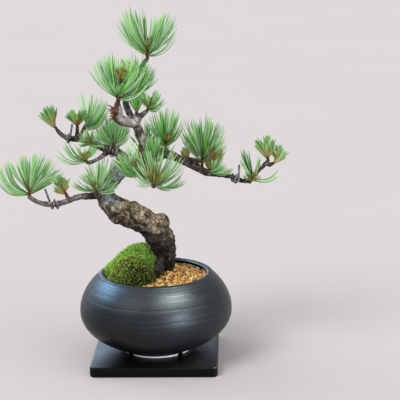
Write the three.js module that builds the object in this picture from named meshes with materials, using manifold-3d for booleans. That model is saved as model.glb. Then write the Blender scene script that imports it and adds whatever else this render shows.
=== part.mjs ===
// A small five-needle pine grown as a bonsai in a round dark pot on a square saucer.
// Millimetres, +Z up, the viewer on the -Y side. The origin is the middle of the saucer's underside.
import * as THREE from "three";
import { mergeVertices } from "three/addons/utils/BufferGeometryUtils.js";
import Module from "manifold-3d";

const wasm = await Module();
wasm.setup();

// ---- Driving dimensions ----
const GAP = 0.3; // clearance between neighbouring pieces
const SAUCER = { side: 106, height: 8.5, corner: 5, edge: 1.2 };
const POT = {
  radius: 65, // at its widest ring
  equatorZ: 43.5,
  lowerHalf: 36, // half height of the spheroid below the widest ring
  upperHalf: 47, // and above it
  rimZ: 76,
  innerRadius: 61,
  innerLowerHalf: 32,
  innerUpperHalf: 44,
  lip: 1.5, // height of the rounded lip
  floorUnder: 11.7,
  floorTop: 16,
  footInner: 25.5,
  footOuter: 30,
  drain: 6, // radius of the hole in the floor
  segments: 32,
};
const NOTCH = { count: 4, width: 6, height: 2 }; // in the foot ring, so that water runs out
const DRAIN_MESH = { side: 22, thick: 1, holes: 3, bar: 2.4 };
const SOIL_TOP = 66.5;
const GRAVEL = { top: 71.6, grain: 5.8, relief: 1.2, reach: 57, seed: 77 };
// Cushions of moss: the middle of the foot, the half widths, the height, and the size of the bumps.
const MOSS_BACK = { centre: [-12, 8], left: 34, right: 20, deep: 24, height: 30.5, rough: 0.035, seed: 31 };
const MOSS_FRONT = {
  centre: [-20, -15],
  left: 18.5,
  right: 21.5,
  deep: 19.5,
  height: 25.5,
  rough: 0.05,
  seed: 32,
};
const MOSS_GRID = { sides: 22, rings: 7 };
const BURIED_Z = 76; // bark relief fades out below this height
const BARK = 0.07; // depth of the bark's relief, as a share of the radius
const WIRE = { radius: 0.85, perTurn: 10, sides: 5, step: 2.6 }; // points and steps along it
const FIRST_SEED = 800; // each spray draws its needles from its own seed, counted from here

const UP = new THREE.Vector3(0, 0, 1);
const TURN = 2 * Math.PI;
const GOLDEN_ANGLE = Math.PI * (3 - Math.sqrt(5));
const vec = (p) => new THREE.Vector3(p[0], p[1], p[2]);

// A repeatable stream of numbers from 0 to 1.
function seeded(seed) {
  let state = seed >>> 0;
  return () => {
    state = (state + 0x6d2b79f5) >>> 0;
    let t = state;
    t = Math.imul(t ^ (t >>> 15), t | 1);
    t ^= t + Math.imul(t ^ (t >>> 7), t | 61);
    return ((t ^ (t >>> 14)) >>> 0) / 4294967296;
  };
}

// ---- Solids ----
function solid(geometry) {
  const bare = geometry.clone();
  bare.deleteAttribute("normal");
  bare.deleteAttribute("uv");
  const merged = mergeVertices(bare, 1e-4);
  return new wasm.Manifold(
    new wasm.Mesh({
      numProp: 3,
      vertProperties: new Float32Array(merged.attributes.position.array),
      triVerts: new Uint32Array(merged.index.array),
    }),
  );
}

const join = (solids) => solids.reduce((whole, next) => whole.add(next));
const cut = (body, tools) => tools.reduce((left, tool) => left.subtract(tool), body);

function geometryOf(body) {
  const mesh = body.getMesh();
  const geometry = new THREE.BufferGeometry();
  geometry.setAttribute("position", new THREE.BufferAttribute(mesh.vertProperties, 3));
  geometry.setIndex(new THREE.BufferAttribute(mesh.triVerts, 1));
  geometry.computeVertexNormals();
  return geometry;
}

function indexed(positions, index) {
  const geometry = new THREE.BufferGeometry();
  geometry.setAttribute("position", new THREE.Float32BufferAttribute(positions, 3));
  geometry.setIndex(index);
  return geometry;
}

// A profile of [radius, height] points, counter-clockwise, turned round the Z axis.
function turned(profile, segments) {
  const points = profile.map(([r, z]) => new THREE.Vector2(r, z));
  return new THREE.LatheGeometry(points, segments).rotateX(Math.PI / 2);
}

function box(width, depth, height, x, y, z) {
  return new THREE.BoxGeometry(width, depth, height).translate(x, y, z);
}

// ---- Tapered tubes: trunk, limbs, twigs, roots, wires and the cores of the sprays ----
// A path is a list of [x, y, z, radius] along the middle of the tube.
class Limb {
  constructor(path, grow = 0) {
    this.curve = new THREE.CatmullRomCurve3(path.map(vec), false, "centripetal");
    this.radii = path.map((p) => p[3] + grow);
  }
  radiusAt(share) {
    const place = this.curve.getUtoTmapping(share) * (this.radii.length - 1);
    const i = Math.min(Math.floor(place), this.radii.length - 2);
    return THREE.MathUtils.lerp(this.radii[i], this.radii[i + 1], place - i);
  }
  // Round sections along the curve; bark pushes each corner in or out by a share of the radius.
  tube(sides, steps, bark = 0, seed = 1) {
    const frames = this.curve.computeFrenetFrames(steps, false);
    const random = seeded(seed);
    const positions = [];
    const index = [];
    for (let i = 0; i <= steps; i++) {
      const centre = this.curve.getPointAt(i / steps);
      const radius = this.radiusAt(i / steps);
      const rough = bark * THREE.MathUtils.smoothstep(centre.z, BURIED_Z, BURIED_Z + 8);
      for (let j = 0; j < sides; j++) {
        const angle = (TURN * (j + (i % 2) / 2)) / sides;
        const reach = radius * (1 + rough * (2 * random() - 1));
        const corner = centre
          .clone()
          .addScaledVector(frames.normals[i], reach * Math.cos(angle))
          .addScaledVector(frames.binormals[i], reach * Math.sin(angle));
        positions.push(corner.x, corner.y, corner.z);
      }
    }
    for (let i = 0; i < steps; i++) {
      for (let j = 0; j < sides; j++) {
        const k = (j + 1) % sides;
        const [a, b, c, d] = [i * sides + j, i * sides + k, (i + 1) * sides + j, (i + 1) * sides + k];
        if (i % 2) index.push(a, b, d, a, d, c);
        else index.push(a, b, c, b, d, c);
      }
    }
    for (let j = 1; j < sides - 1; j++) {
      const last = steps * sides;
      index.push(0, j + 1, j, last, last + j, last + j + 1);
    }
    return indexed(positions, index);
  }
  // The tube as short straight capsules, for the tests of clearance.
  capsules(node, steps, margin = 0) {
    const list = [];
    for (let i = 0; i < steps; i++) {
      const radius = Math.max(this.radiusAt(i / steps), this.radiusAt((i + 1) / steps));
      list.push({
        node,
        a: this.curve.getPointAt(i / steps),
        b: this.curve.getPointAt((i + 1) / steps),
        radius: radius * (1 + margin),
      });
    }
    return list;
  }
}

// ---- The tree's frame ----
const TRUNK = [
  [8, 1, 42, 5],
  [8.5, 0.5, 56, 8],
  [8.8, 0, 70, 9.6],
  [9.2, 0, 80, 8.6],
  [9.1, 0.5, 89, 9],
  [7, 1.5, 98.5, 11],
  [3.5, 2, 107, 11.8],
  [-3.8, 1.5, 117, 11.5],
  [-16.8, -1, 125, 11.9],
  [-29, -5, 131, 11],
  [-36.5, -6, 137.8, 8.8],
  [-40.6, -5.5, 145.3, 7],
  [-37.4, -3, 152.8, 6.4],
  [-28.9, 2, 161.3, 6],
  [-19.8, 6, 169, 5.4],
  [-11.5, 8, 175.4, 4.9],
  [-8.2, 8, 183, 4.4],
  [-10.5, 7, 192.6, 4],
  [-14.5, 7, 202.5, 3.6],
];
const ROOTS = [
  [[7, -2, 90, 6], [3.8, -5, 80.5, 4.7], [1.6, -8, 73, 3.8], [0.6, -9.5, 68.4, 1.4]],
  [[12, 2, 89, 6.5], [14, 3, 80, 5], [15.4, 4, 73, 3.8], [16.4, 5, 68.4, 1.4]],
  [[6, 5, 87, 5.5], [4, 10, 76, 4], [3, 12, 68.4, 1.4]],
];
// Swellings of the old wood: centre, then half sizes.
const KNUCKLES = [
  [[4.6, 1.5, 119.2], [7.9, 8.5, 7.4]],
  [[-29.5, -7, 125.6], [7.5, 7, 6]],
  [[-15.5, -1, 133.5], [7.5, 8, 5]],
  [[11, 1, 96.5], [7.4, 8, 9]],
];
const LIMBS = {
  riser: [
    [-14.5, 6, 202, 3.4],
    [-22, 3, 204.3, 3],
    [-29.9, 0, 208, 2.8],
    [-31.2, -2, 215, 2.6],
    [-28.5, -4, 222, 2.2],
  ],
  apex: [
    [-14.5, 7, 201, 3.4],
    [-19, 9, 210, 3],
    [-22.3, 11, 218.3, 2.7],
    [-20.4, 12, 229.9, 2.4],
    [-11.5, 10, 245, 2.1],
    [-4.6, 8, 255, 1.8],
  ],
  crown: [[-14, 7, 202, 3], [-10.3, 5, 208, 2.4], [-5.2, 1, 213, 1.9]],
  low_left: [
    [-36, -6, 140, 5],
    [-43.5, -8, 144.4, 3.4],
    [-52.3, -12, 144.6, 3],
    [-61.8, -16, 144.9, 2.6],
    [-70, -18, 142.2, 2.5],
    [-78.9, -20, 140, 2.3],
    [-88.5, -22, 140.6, 2.2],
    [-96.5, -22, 143.4, 2],
    [-101.4, -22, 146.6, 1.8],
  ],
  up_left: [
    [-20.6, 6, 169.9, 4.4],
    [-30.3, 4, 178.6, 3.8],
    [-40.7, 0, 183, 3.3],
    [-50.1, -4, 187.6, 2.8],
    [-59.7, -6, 191.5, 2.5],
    [-70.5, -6, 192.8, 2.2],
    [-76, -6, 196.5, 1.9],
  ],
  up_left_low: [[-36, 2, 181, 3], [-41.7, -4, 177, 2.3], [-48, -10, 174, 2], [-52, -14, 173.6, 1.8]],
  right: [
    [-11.5, 8, 176, 4.4],
    [4, 6, 177.6, 4],
    [15.8, 4, 175.4, 3.7],
    [25.9, 0, 171.5, 3.5],
    [35.2, -4, 167.9, 3.5],
    [44.3, -6, 163, 3],
    [55.9, -6, 161.2, 2.5],
    [65.9, -4, 159.2, 2.3],
    [74, -2, 156, 2.1],
    [82, 1, 156, 2],
    [88, 4, 162, 1.9],
    [94.5, 5, 168, 1.8],
  ],
  front: [[-13, 6, 173, 3.6], [-5.5, -12, 169.5, 2.8], [0, -28, 163.5, 2.2], [2.4, -38, 159.4, 1.9]],
  back: [[-18, 7, 170, 3.4], [-12, 20, 168, 2.6], [-6, 31, 163, 2]],
  right_back: [[24, 1, 172, 3], [31, 11, 170.5, 2.2], [38, 22, 167, 1.8]],
  left_back: [[-39, -4, 146, 4], [-43, 7, 143, 2.4], [-44.5, 16, 143, 1.9]],
};
// A sawn-off branch, healed round its rim.
const SCAR = [[-22, 5, 168, 4], [-25, -1, 170, 4], [-26.5, -4.5, 171, 3.6]];

// Training wires: name, limb, the shares of its length between which the wire winds, the turns, the angle
// at which it starts, and the straight tail.
const WIRES = [
  ["wire_low_left", "low_left", 0.64, 0.73, 1.6, 2.2, [-4, -1, 13]],
  ["wire_up_left", "up_left", 0.9, 0.85, 1.6, -0.8, [2.6, -2, 13]],
  ["wire_up_left_inner", "up_left", 0.2, 0.34, 1.5, 0.4, null],
  ["wire_right", "right", 0.7, 0.74, 1.6, 2.4, [0.5, -1, 13]],
];

// ---- The sprays of needles ----
// Name, limb, the place where the twig ends, the way the shoot points, the length of the spray, the number
// of needles, the half angle they spread over in degrees, and where needed the share of the limb's length at
// which the twig leaves it; otherwise it leaves at the nearest point.
const SPRAYS = [
  ["needles_apex", "apex", [-3.6, 8, 257.6], [0.02, -0.05, 1], 42, 34, 62],
  ["needles_crown_left", "riser", [-27.4, -4, 225], [-0.2, -0.2, 1], 40, 32, 58],
  ["needles_crown_right", "apex", [-17, 8, 228], [0.6, -0.1, 0.8], 36, 22, 38],
  ["candle_crown", "riser", [-23, 1, 239], [0.05, -0.1, 1], 9, 11, 42, 0.72],
  ["needles_crown_inner", "crown", [-12.8, 1, 212.5], [0.1, -0.2, 1], 14, 13, 28],
  ["needles_crown_low", "crown", [-3.6, -1, 214.8], [0.35, -0.5, 0.8], 17, 18, 60],
  ["candle_up_left_tip", "up_left", [-78.7, -6, 200.2], [-0.5, -0.05, 0.85], 15, 13, 34],
  ["candle_up_left", "up_left", [-61.3, -9, 203], [0.05, -0.2, 1], 13.5, 15, 42],
  ["needles_up_left_long", "up_left", [-58.5, 3, 197.5], [0.45, 0.1, 0.9], 38, 22, 38],
  ["needles_up_left_face", "up_left", [-50.3, -9, 188.5], [0.05, -0.85, 0.5], 22, 18, 64],
  ["needles_up_left_back", "up_left", [-34, 14, 181], [0, 0.15, 1], 26, 26, 58],
  ["needles_up_left_low", "up_left_low", [-53.3, -16, 174.6], [-0.6, -0.3, 0.7], 28, 22, 56],
  ["needles_middle", "right", [10.5, 7, 182], [-0.1, -0.05, 1], 37, 32, 56],
  ["needles_right", "right", [41.5, -6, 173.5], [0.08, -0.15, 1], 40, 34, 46],
  ["candle_right_bud", "right", [30, -7, 174.5], [-0.35, -0.2, 0.9], 9, 10, 32],
  ["needles_right_side", "right", [47.5, -10.5, 165.5], [0.85, -0.3, 0.45], 24, 15, 36],
  ["needles_right_few", "right", [79, -3.5, 159], [0.25, -0.4, 0.8], 25, 14, 82],
  ["candle_right_tip", "right", [96, 5, 171.5], [-0.12, -0.1, 1], 20, 16, 44],
  ["candle_right_end", "right", [100.5, 3, 168.4], [0.5, -0.1, 0.8], 19, 16, 50],
  ["needles_front", "front", [3.1, -42, 159.2], [0.15, -0.55, 0.75], 33, 33, 72],
  ["needles_front_left", "front", [-5, -29, 165], [-0.85, -0.15, 0.62], 32, 21, 36],
  ["needles_front_up", "front", [2, -13, 171.5], [0.05, -0.05, 1], 26, 18, 36],
  ["needles_low", "low_left", [-46.7, -15, 149], [0.15, -0.45, 0.85], 30, 29, 68],
  ["needles_far_left", "low_left", [-103, -22, 148.5], [0.06, -0.1, 1], 40, 36, 66],
  ["candle_low_left", "low_left", [-71, -19.5, 148], [-0.4, -0.2, 0.85], 13.5, 12, 46],
  ["needles_back", "back", [-3.4, 36, 162], [0, 0.6, 0.8], 30, 17, 60],
  ["needles_back_up", "back", [-6, 24, 174], [0.2, 0.35, 0.9], 27, 15, 45],
  ["needles_right_back", "right_back", [40.3, 26, 168.5], [0.1, 0.5, 0.85], 30, 17, 50],
  ["needles_left_back", "left_back", [-44.7, 20, 146], [-0.1, 0.6, 0.8], 28, 17, 55],
  ["needles_crown_back", "apex", [-25, 20, 224], [-0.05, 0.55, 0.85], 30, 17, 50],
].map(([name, limb, base, axis, length, count, spread, rootAt]) => (
  { name, limb, base, axis, length, count, spread, rootAt }
));
const TWIG = { root: 1.9, middle: 1.8, elbow: 1.6, end: 1.5 }; // radii
const CORE = { share: 0.3, shortest: 5, root: 1.6, belly: 1.9, tip: 0.8 }; // length share and radii
const NEEDLE = {
  radius: 0.52,
  tries: 14, // draws of a direction before a needle that finds no free way is left out
  loose: 0.1, // how far the first draw may turn, growing by
  looser: 0.06, // with each further draw
  low: 1.2, // how much lower than its place in the spray an outer needle leaves the core
  raised: 0.66, // and how far it has risen where it ends
  bend: 0.45, // share of the length at which it bends
  lift: 0.12, // pull towards the light
  inner: 0.72, // needles within this share of the spread are straight
};

// The point of a limb that lies nearest to a place.
function nearestOn(limb, place) {
  const samples = Array.from({ length: 61 }, (_, i) => limb.curve.getPointAt(i / 60));
  return samples.reduce((best, p) => (p.distanceTo(place) < best.distanceTo(place) ? p : best));
}

// A twig leaves its limb and turns until it points the way of its shoot.
function twigOf(spray, limbs) {
  const base = vec(spray.base);
  const limb = limbs[spray.limb];
  const root = spray.rootAt ? limb.curve.getPointAt(spray.rootAt) : nearestOn(limb, base);
  const axis = vec(spray.axis).normalize();
  const elbow = base.clone().addScaledVector(axis, -Math.max(2, 0.45 * base.distanceTo(root)));
  const middle = root.clone().lerp(elbow, 0.6);
  const path = [[root, TWIG.root], [middle, TWIG.middle], [elbow, TWIG.elbow], [base, TWIG.end]];
  return new Limb(path.map(([p, r]) => [...p.toArray(), r]));
}

function closestGap(a, b, c, d) {
  const u = b.clone().sub(a);
  const v = d.clone().sub(c);
  const w = a.clone().sub(c);
  const [uu, uv, vv, uw, vw] = [u.dot(u), u.dot(v), v.dot(v), u.dot(w), v.dot(w)];
  const area = uu * vv - uv * uv;
  const clamp = (x) => Math.min(1, Math.max(0, x));
  let s = area > 1e-9 ? clamp((uv * vw - vv * uw) / area) : 0;
  const t = clamp((uv * s + vw) / vv);
  s = clamp((uv * t - uw) / uu);
  return w.addScaledVector(u, s).addScaledVector(v, -t).length();
}

const isClear = (capsule, others) =>
  others.every(
    (o) =>
      o.node === capsule.node ||
      closestGap(capsule.a, capsule.b, o.a, o.b) > capsule.radius + o.radius + GAP,
  );

// A three-sided needle through two or three points, blunt at its root and pointed at its tip.
function needle(points) {
  const positions = [];
  const index = [0, 2, 1];
  const rings = points.length - 1;
  for (let i = 0; i < rings; i++) {
    const way = points[i + 1].clone().sub(points[Math.max(0, i - 1)]).normalize();
    const side = way.clone().cross(Math.abs(way.z) < 0.9 ? UP : new THREE.Vector3(1, 0, 0)).normalize();
    const over = way.clone().cross(side);
    for (let j = 0; j < 3; j++) {
      const corner = points[i]
        .clone()
        .addScaledVector(side, NEEDLE.radius * Math.cos((TURN * j) / 3))
        .addScaledVector(over, NEEDLE.radius * Math.sin((TURN * j) / 3));
      positions.push(corner.x, corner.y, corner.z);
    }
  }
  const tip = points[rings];
  positions.push(tip.x, tip.y, tip.z);
  for (let i = 0; i < rings; i++) {
    for (let j = 0; j < 3; j++) {
      const [a, b] = [3 * i + j, 3 * i + ((j + 1) % 3)];
      if (i === rings - 1) index.push(a, b, 3 * rings);
      else index.push(a, b, a + 3, b, b + 3, a + 3);
    }
  }
  return indexed(positions, index);
}

// The slim core of a shoot with its needles round it: the outer ones leave low and curve up like a bowl.
function sprayOf(spray, seed, obstacles) {
  const random = seeded(seed);
  const axis = vec(spray.axis).normalize();
  const side = axis.clone().cross(new THREE.Vector3(0, 1, 0.01)).normalize();
  const over = axis.clone().cross(side);
  const coreLength = Math.max(CORE.shortest, CORE.share * spray.length);
  const at = (along) => vec(spray.base).addScaledVector(axis, GAP + along);
  const stations = [[0, CORE.root], [0.45 * coreLength, CORE.belly], [coreLength, CORE.tip]];
  const corePath = stations.map(([s, r]) => [...at(s).toArray(), r]);
  const core = new Limb(corePath);
  const pieces = [solid(core.tube(5, 2))];
  const kept = core.capsules(spray.name, 3);
  const towards = (polar, azimuth) =>
    axis
      .clone()
      .multiplyScalar(Math.cos(polar))
      .addScaledVector(side, Math.sin(polar) * Math.cos(azimuth))
      .addScaledVector(over, Math.sin(polar) * Math.sin(azimuth));
  for (let i = 0; i < spray.count; i++) {
    const share = Math.sqrt((i + 0.5) / spray.count);
    for (let attempt = 0; attempt < NEEDLE.tries; attempt++) {
      const loose = NEEDLE.loose + NEEDLE.looser * attempt;
      const tilt = 1 + 0.25 * loose * (random() - 0.5);
      const polar = THREE.MathUtils.degToRad(spray.spread) * share * tilt;
      const azimuth = i * GOLDEN_ANGLE + 4 * loose * (random() - 0.5);
      const along = coreLength * (0.85 - 0.7 * share);
      const reach = spray.length * (0.88 + 0.12 * random()) - along * Math.cos(polar);
      const root = at(along);
      const first = towards(NEEDLE.low * polar, azimuth);
      const second = towards(NEEDLE.raised * polar, azimuth).addScaledVector(UP, NEEDLE.lift).normalize();
      const bend = root.clone().addScaledVector(first, NEEDLE.bend * reach);
      const tip = bend.clone().addScaledVector(second, (1 - NEEDLE.bend) * reach);
      const points = share > NEEDLE.inner ? [root, bend, tip] : [root, tip];
      const capsules = points
        .slice(1)
        .map((p, k) => ({ node: spray.name, a: points[k], b: p, radius: NEEDLE.radius }));
      if (capsules.every((c) => isClear(c, obstacles))) {
        pieces.push(solid(needle(points)));
        kept.push(...capsules);
        break;
      }
    }
  }
  obstacles.push(...kept);
  return join(pieces);
}

// ---- Training wire: turns round a limb, then a straight tail ----
function wirePath(limb, from, to, turns, startAngle, tail) {
  const steps = Math.round(turns * WIRE.perTurn);
  const points = [];
  for (let i = 0; i <= steps; i++) {
    const share = from + ((to - from) * i) / steps;
    const centre = limb.curve.getPointAt(share);
    const along = limb.curve.getTangentAt(share);
    const level = along.clone().cross(UP).normalize();
    const above = level.clone().cross(along);
    const angle = startAngle + (TURN * i) / WIRE.perTurn;
    const reach = limb.radiusAt(share) * (1 + BARK) + WIRE.radius + 2 * GAP;
    points.push(
      centre.addScaledVector(level, reach * Math.cos(angle)).addScaledVector(above, reach * Math.sin(angle)),
    );
  }
  const end = points[steps];
  if (tail) for (const share of [0.4, 1]) points.push(end.clone().addScaledVector(vec(tail), share));
  return points.map((p) => [...p.toArray(), WIRE.radius]);
}

// ---- Pot, saucer and what fills the pot ----
const ringRadius = (z, radius, half) => radius * Math.sqrt(1 - ((z - POT.equatorZ) / half) ** 2);
const outerRadius = (z) => ringRadius(z, POT.radius, z < POT.equatorZ ? POT.lowerHalf : POT.upperHalf);
const innerRadius = (z) =>
  ringRadius(z, POT.innerRadius, z < POT.equatorZ ? POT.innerLowerHalf : POT.innerUpperHalf);

// Points of the wall from one height to another, closer together where the wall turns quickly.
function wall(radiusOf, fromZ, toZ, count) {
  return Array.from({ length: count + 1 }, (_, i) => {
    const z = fromZ + (toZ - fromZ) * (0.5 - 0.5 * Math.cos((Math.PI * i) / count));
    return [radiusOf(z), z];
  });
}

const INNER_WALL = wall(innerRadius, POT.floorTop, POT.rimZ - POT.lip, 6);
const WALL_CLEARANCE = 3 * GAP; // across, so that the gap is still wide enough where the wall slopes most

// The radius of the faceted inner wall at a height.
function wallAt(z) {
  const above = Math.max(1, INNER_WALL.findIndex((p) => p[1] >= z));
  const [[r0, z0], [r1, z1]] = [INNER_WALL[above - 1], INNER_WALL[above]];
  return THREE.MathUtils.lerp(r0, r1, (z - z0) / (z1 - z0));
}

function saucer() {
  const { side, height, corner, edge } = SAUCER;
  const half = side / 2 - edge;
  const round = corner - edge;
  const shape = new THREE.Shape();
  shape.moveTo(-half + round, -half);
  shape.lineTo(half - round, -half);
  shape.absarc(half - round, -half + round, round, -Math.PI / 2, 0);
  shape.lineTo(half, half - round);
  shape.absarc(half - round, half - round, round, 0, Math.PI / 2);
  shape.lineTo(-half + round, half);
  shape.absarc(-half + round, half - round, round, Math.PI / 2, Math.PI);
  shape.lineTo(-half, -half + round);
  shape.absarc(-half + round, -half + round, round, Math.PI, 1.5 * Math.PI);
  return new THREE.ExtrudeGeometry(shape, {
    depth: height - 2 * edge,
    bevelThickness: edge,
    bevelSize: edge,
    bevelSegments: 1,
    curveSegments: 3,
  }).translate(0, 0, edge);
}

function pot() {
  const rimOuter = outerRadius(POT.rimZ - POT.lip);
  const rimInner = innerRadius(POT.rimZ - POT.lip);
  const body = turned(
    [
      [POT.drain, POT.floorUnder],
      [POT.footInner, POT.floorUnder],
      [POT.footInner, SAUCER.height],
      [POT.footOuter, SAUCER.height],
      ...wall(outerRadius, POT.floorUnder + 0.2, POT.rimZ - POT.lip, 9),
      [rimOuter - 1, POT.rimZ],
      [rimInner + 1, POT.rimZ],
      ...INNER_WALL.toReversed(),
      [POT.drain, POT.floorTop],
      [POT.drain, POT.floorUnder],
    ],
    POT.segments,
  );
  const middle = (POT.footInner + POT.footOuter) / 2;
  const notches = Array.from({ length: NOTCH.count }, (_, i) => {
    const angle = (TURN * (i + 0.5)) / NOTCH.count - Math.PI / 2;
    return solid(
      box(12, NOTCH.width, 2 * NOTCH.height, 0, 0, 0)
        .rotateZ(angle)
        .translate(middle * Math.cos(angle), middle * Math.sin(angle), SAUCER.height),
    );
  });
  return cut(solid(body), notches);
}

function drainMesh() {
  const { side, thick, holes, bar } = DRAIN_MESH;
  const pitch = (side - bar) / holes;
  const middle = POT.floorTop + thick / 2;
  const cuts = [];
  for (let i = 0; i < holes; i++) {
    for (let j = 0; j < holes; j++) {
      const [x, y] = [i, j].map((k) => (k - (holes - 1) / 2) * pitch);
      cuts.push(solid(box(pitch - bar, pitch - bar, 3 * thick, x, y, middle)));
    }
  }
  return cut(solid(box(side, side, thick, 0, 0, middle)), cuts);
}

// A cushion of moss: a bumpy dome over a rounded foot, wider on one side than the other.
function mossDome({ centre, left, right, deep, height, seed, rough }, grow = 0) {
  const random = seeded(seed);
  const { sides, rings } = MOSS_GRID;
  const foot = SOIL_TOP + GAP;
  const positions = [centre[0], centre[1], foot + height + grow];
  for (let k = 1; k <= rings; k++) {
    const lean = (Math.PI / 2) * (k / rings);
    for (let j = 0; j < sides; j++) {
      const angle = (TURN * (j + (k % 2) / 2)) / sides;
      const bump = k < rings ? 1 + rough * (2 * random() - 1) : 1;
      const wide = Math.cos(angle) < 0 ? left : right;
      positions.push(
        centre[0] + (wide + grow) * Math.sin(lean) * bump * Math.cos(angle),
        centre[1] + (deep + grow) * Math.sin(lean) * bump * Math.sin(angle),
        k < rings ? foot + (height + grow) * Math.cos(lean) * bump : foot - 2 * grow,
      );
    }
  }
  const index = [];
  const at = (k, j) => 1 + (k - 1) * sides + (j % sides);
  for (let j = 0; j < sides; j++) index.push(0, at(1, j), at(1, j + 1));
  for (let k = 1; k < rings; k++) {
    for (let j = 0; j < sides; j++) {
      const [a, b, c, d] = [at(k, j), at(k, j + 1), at(k + 1, j), at(k + 1, j + 1)];
      if (k % 2) index.push(a, c, b, b, c, d);
      else index.push(a, c, d, a, d, b);
    }
  }
  for (let j = 1; j < sides - 1; j++) index.push(at(rings, 0), at(rings, j + 1), at(rings, j));
  return solid(indexed(positions, index));
}

// The space over the soil that the moss may fill: inside the wall, and free above the rim.
function mossRoom() {
  const [low, rim, high] = [SOIL_TOP + GAP, POT.rimZ + GAP, POT.rimZ + 60];
  const stations = INNER_WALL.filter(([, z]) => z > low).map(([r, z]) => [r - WALL_CLEARANCE, z]);
  const neck = stations[stations.length - 1][0];
  const below = [[0, low], [wallAt(low) - WALL_CLEARANCE, low], ...stations, [neck, rim]];
  return solid(turned([...below, [POT.radius, rim], [POT.radius, high], [0, high]], POT.segments));
}


// The gravel's top: a grid of jittered points, high and low in turn, so that each high one is a grain.
function gravelRelief() {
  const { grain, relief, top, reach, seed } = GRAVEL;
  const random = seeded(seed);
  const count = Math.round((2 * reach) / grain);
  const foot = SOIL_TOP - 4;
  const positions = [];
  for (let i = 0; i <= count; i++) {
    for (let j = 0; j <= count; j++) {
      const jitter = () => 0.5 * grain * (random() - 0.5);
      const rise = ((i + j) % 2 ? 1 : -1) * relief * (0.35 + 0.65 * random());
      positions.push(-reach + i * grain + jitter(), -reach + j * grain + jitter(), top + rise);
    }
  }
  const side = count + 1;
  const index = [];
  for (let i = 0; i < count; i++) {
    for (let j = 0; j < count; j++) {
      const [a, b, c, d] = [i * side + j, (i + 1) * side + j, (i + 1) * side + j + 1, i * side + j + 1];
      if ((i + j) % 2) index.push(a, b, d, b, c, d);
      else index.push(a, b, c, a, c, d);
    }
  }
  // The skirt goes down from the grid's edge to one point far below, which the round body cuts away.
  const deep = positions.length / 3;
  positions.push(0, 0, foot - 200);
  const edge = [];
  for (let i = 0; i < count; i++) edge.push(i * side);
  for (let j = 0; j < count; j++) edge.push(count * side + j);
  for (let i = count; i > 0; i--) edge.push(i * side + count);
  for (let j = count; j > 0; j--) edge.push(j);
  edge.forEach((a, k) => index.push(a, deep, edge[(k + 1) % edge.length]));
  return solid(indexed(positions, index));
}

// A round body between two heights that keeps clear of the pot's faceted inner wall.
function potFill(bottom, top) {
  const stations = INNER_WALL.filter(([, z]) => z > bottom && z < top);
  const profile = [[wallAt(bottom), bottom], ...stations, [wallAt(top), top]];
  const outline = profile.map(([r, z]) => [r - WALL_CLEARANCE, z]);
  return solid(turned([[0, bottom], ...outline, [0, top]], POT.segments));
}

// ---- Assembly ----
const colours = {
  glaze: { color: 0x24272b, roughness: 0.38 },
  soil: { color: 0x3a2c20, roughness: 0.95 },
  gravel: { color: 0xb98a4c, roughness: 0.9 },
  mossBright: { color: 0x5e9a24, roughness: 0.95 },
  mossDark: { color: 0x496e25, roughness: 0.95 },
  bark: { color: 0x5d5348, roughness: 0.9 },
  needles: { color: 0x3f8a3c, roughness: 0.5 },
  candles: { color: 0x7d8a30, roughness: 0.6 },
  wire: { color: 0x3a3a3e, roughness: 0.45, metalness: 0.8 },
  plastic: { color: 0x1c1c1c, roughness: 0.6 },
};
const materials = Object.fromEntries(
  Object.entries(colours).map(([name, look]) => [name, new THREE.MeshStandardMaterial(look)]),
);

const tree = new THREE.Group();
const pottery = new THREE.Group();
const filling = new THREE.Group();

function place(group, name, geometry, material) {
  const mesh = new THREE.Mesh(geometry, materials[material]);
  mesh.name = name;
  group.add(mesh);
}

const limbs = Object.fromEntries(Object.entries(LIMBS).map(([name, path]) => [name, new Limb(path)]));

function lump([centre, half]) {
  const ball = new THREE.IcosahedronGeometry(1, 1).scale(...half).translate(...centre);
  return solid(ball);
}

const woodTubes = [
  { limb: new Limb(TRUNK), sides: 11, steps: 36, bark: BARK },
  ...ROOTS.map((path) => ({ limb: new Limb(path), sides: 6, steps: 4 })),
  { limb: new Limb(SCAR), sides: 8, steps: 2 },
  ...Object.values(limbs).map((limb) => ({
    limb,
    sides: 6,
    steps: Math.max(3, Math.round(limb.curve.getLength() / 9.5)),
    bark: BARK,
  })),
  ...SPRAYS.map((spray) => ({ limb: twigOf(spray, limbs), sides: 4, steps: 2 })),
];
const wood = join([
  ...woodTubes.map(({ limb, sides, steps, bark }, i) => solid(limb.tube(sides, steps, bark, 40 + i))),
  ...KNUCKLES.map(lump),
]);

// What the soil, gravel and moss leave free round the foot of the tree.
function socketOf(room) {
  const [[x, y, z, radius], ...above] = TRUNK.slice(0, 6);
  return [
    solid(new Limb([[x, y, z - GAP, radius], ...above], room).tube(16, 12)),
    ...ROOTS.map((path) => solid(new Limb(path, room).tube(8, 4))),
  ];
}
const smoothSocket = socketOf(2 * GAP);
const barkSocket = socketOf(4 * GAP);

const wires = WIRES.map(([name, limb, ...route]) => {
  return { name, tube: new Limb(wirePath(limbs[limb], ...route)) };
});

const obstacles = [
  ...woodTubes.flatMap(({ limb, steps, bark }) => limb.capsules("trunk", steps, bark)),
  ...KNUCKLES.map(([c, h]) => ({
    node: "trunk",
    a: vec(c),
    b: vec([c[0] + 0.1, c[1], c[2]]),
    radius: Math.max(...h),
  })),
  ...wires.flatMap(({ name, tube }) => tube.capsules(name, 30)),
];

place(pottery, "saucer", saucer(), "glaze");
place(pottery, "pot", geometryOf(pot()), "glaze");
place(pottery, "drain_mesh", geometryOf(drainMesh()), "plastic");

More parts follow.
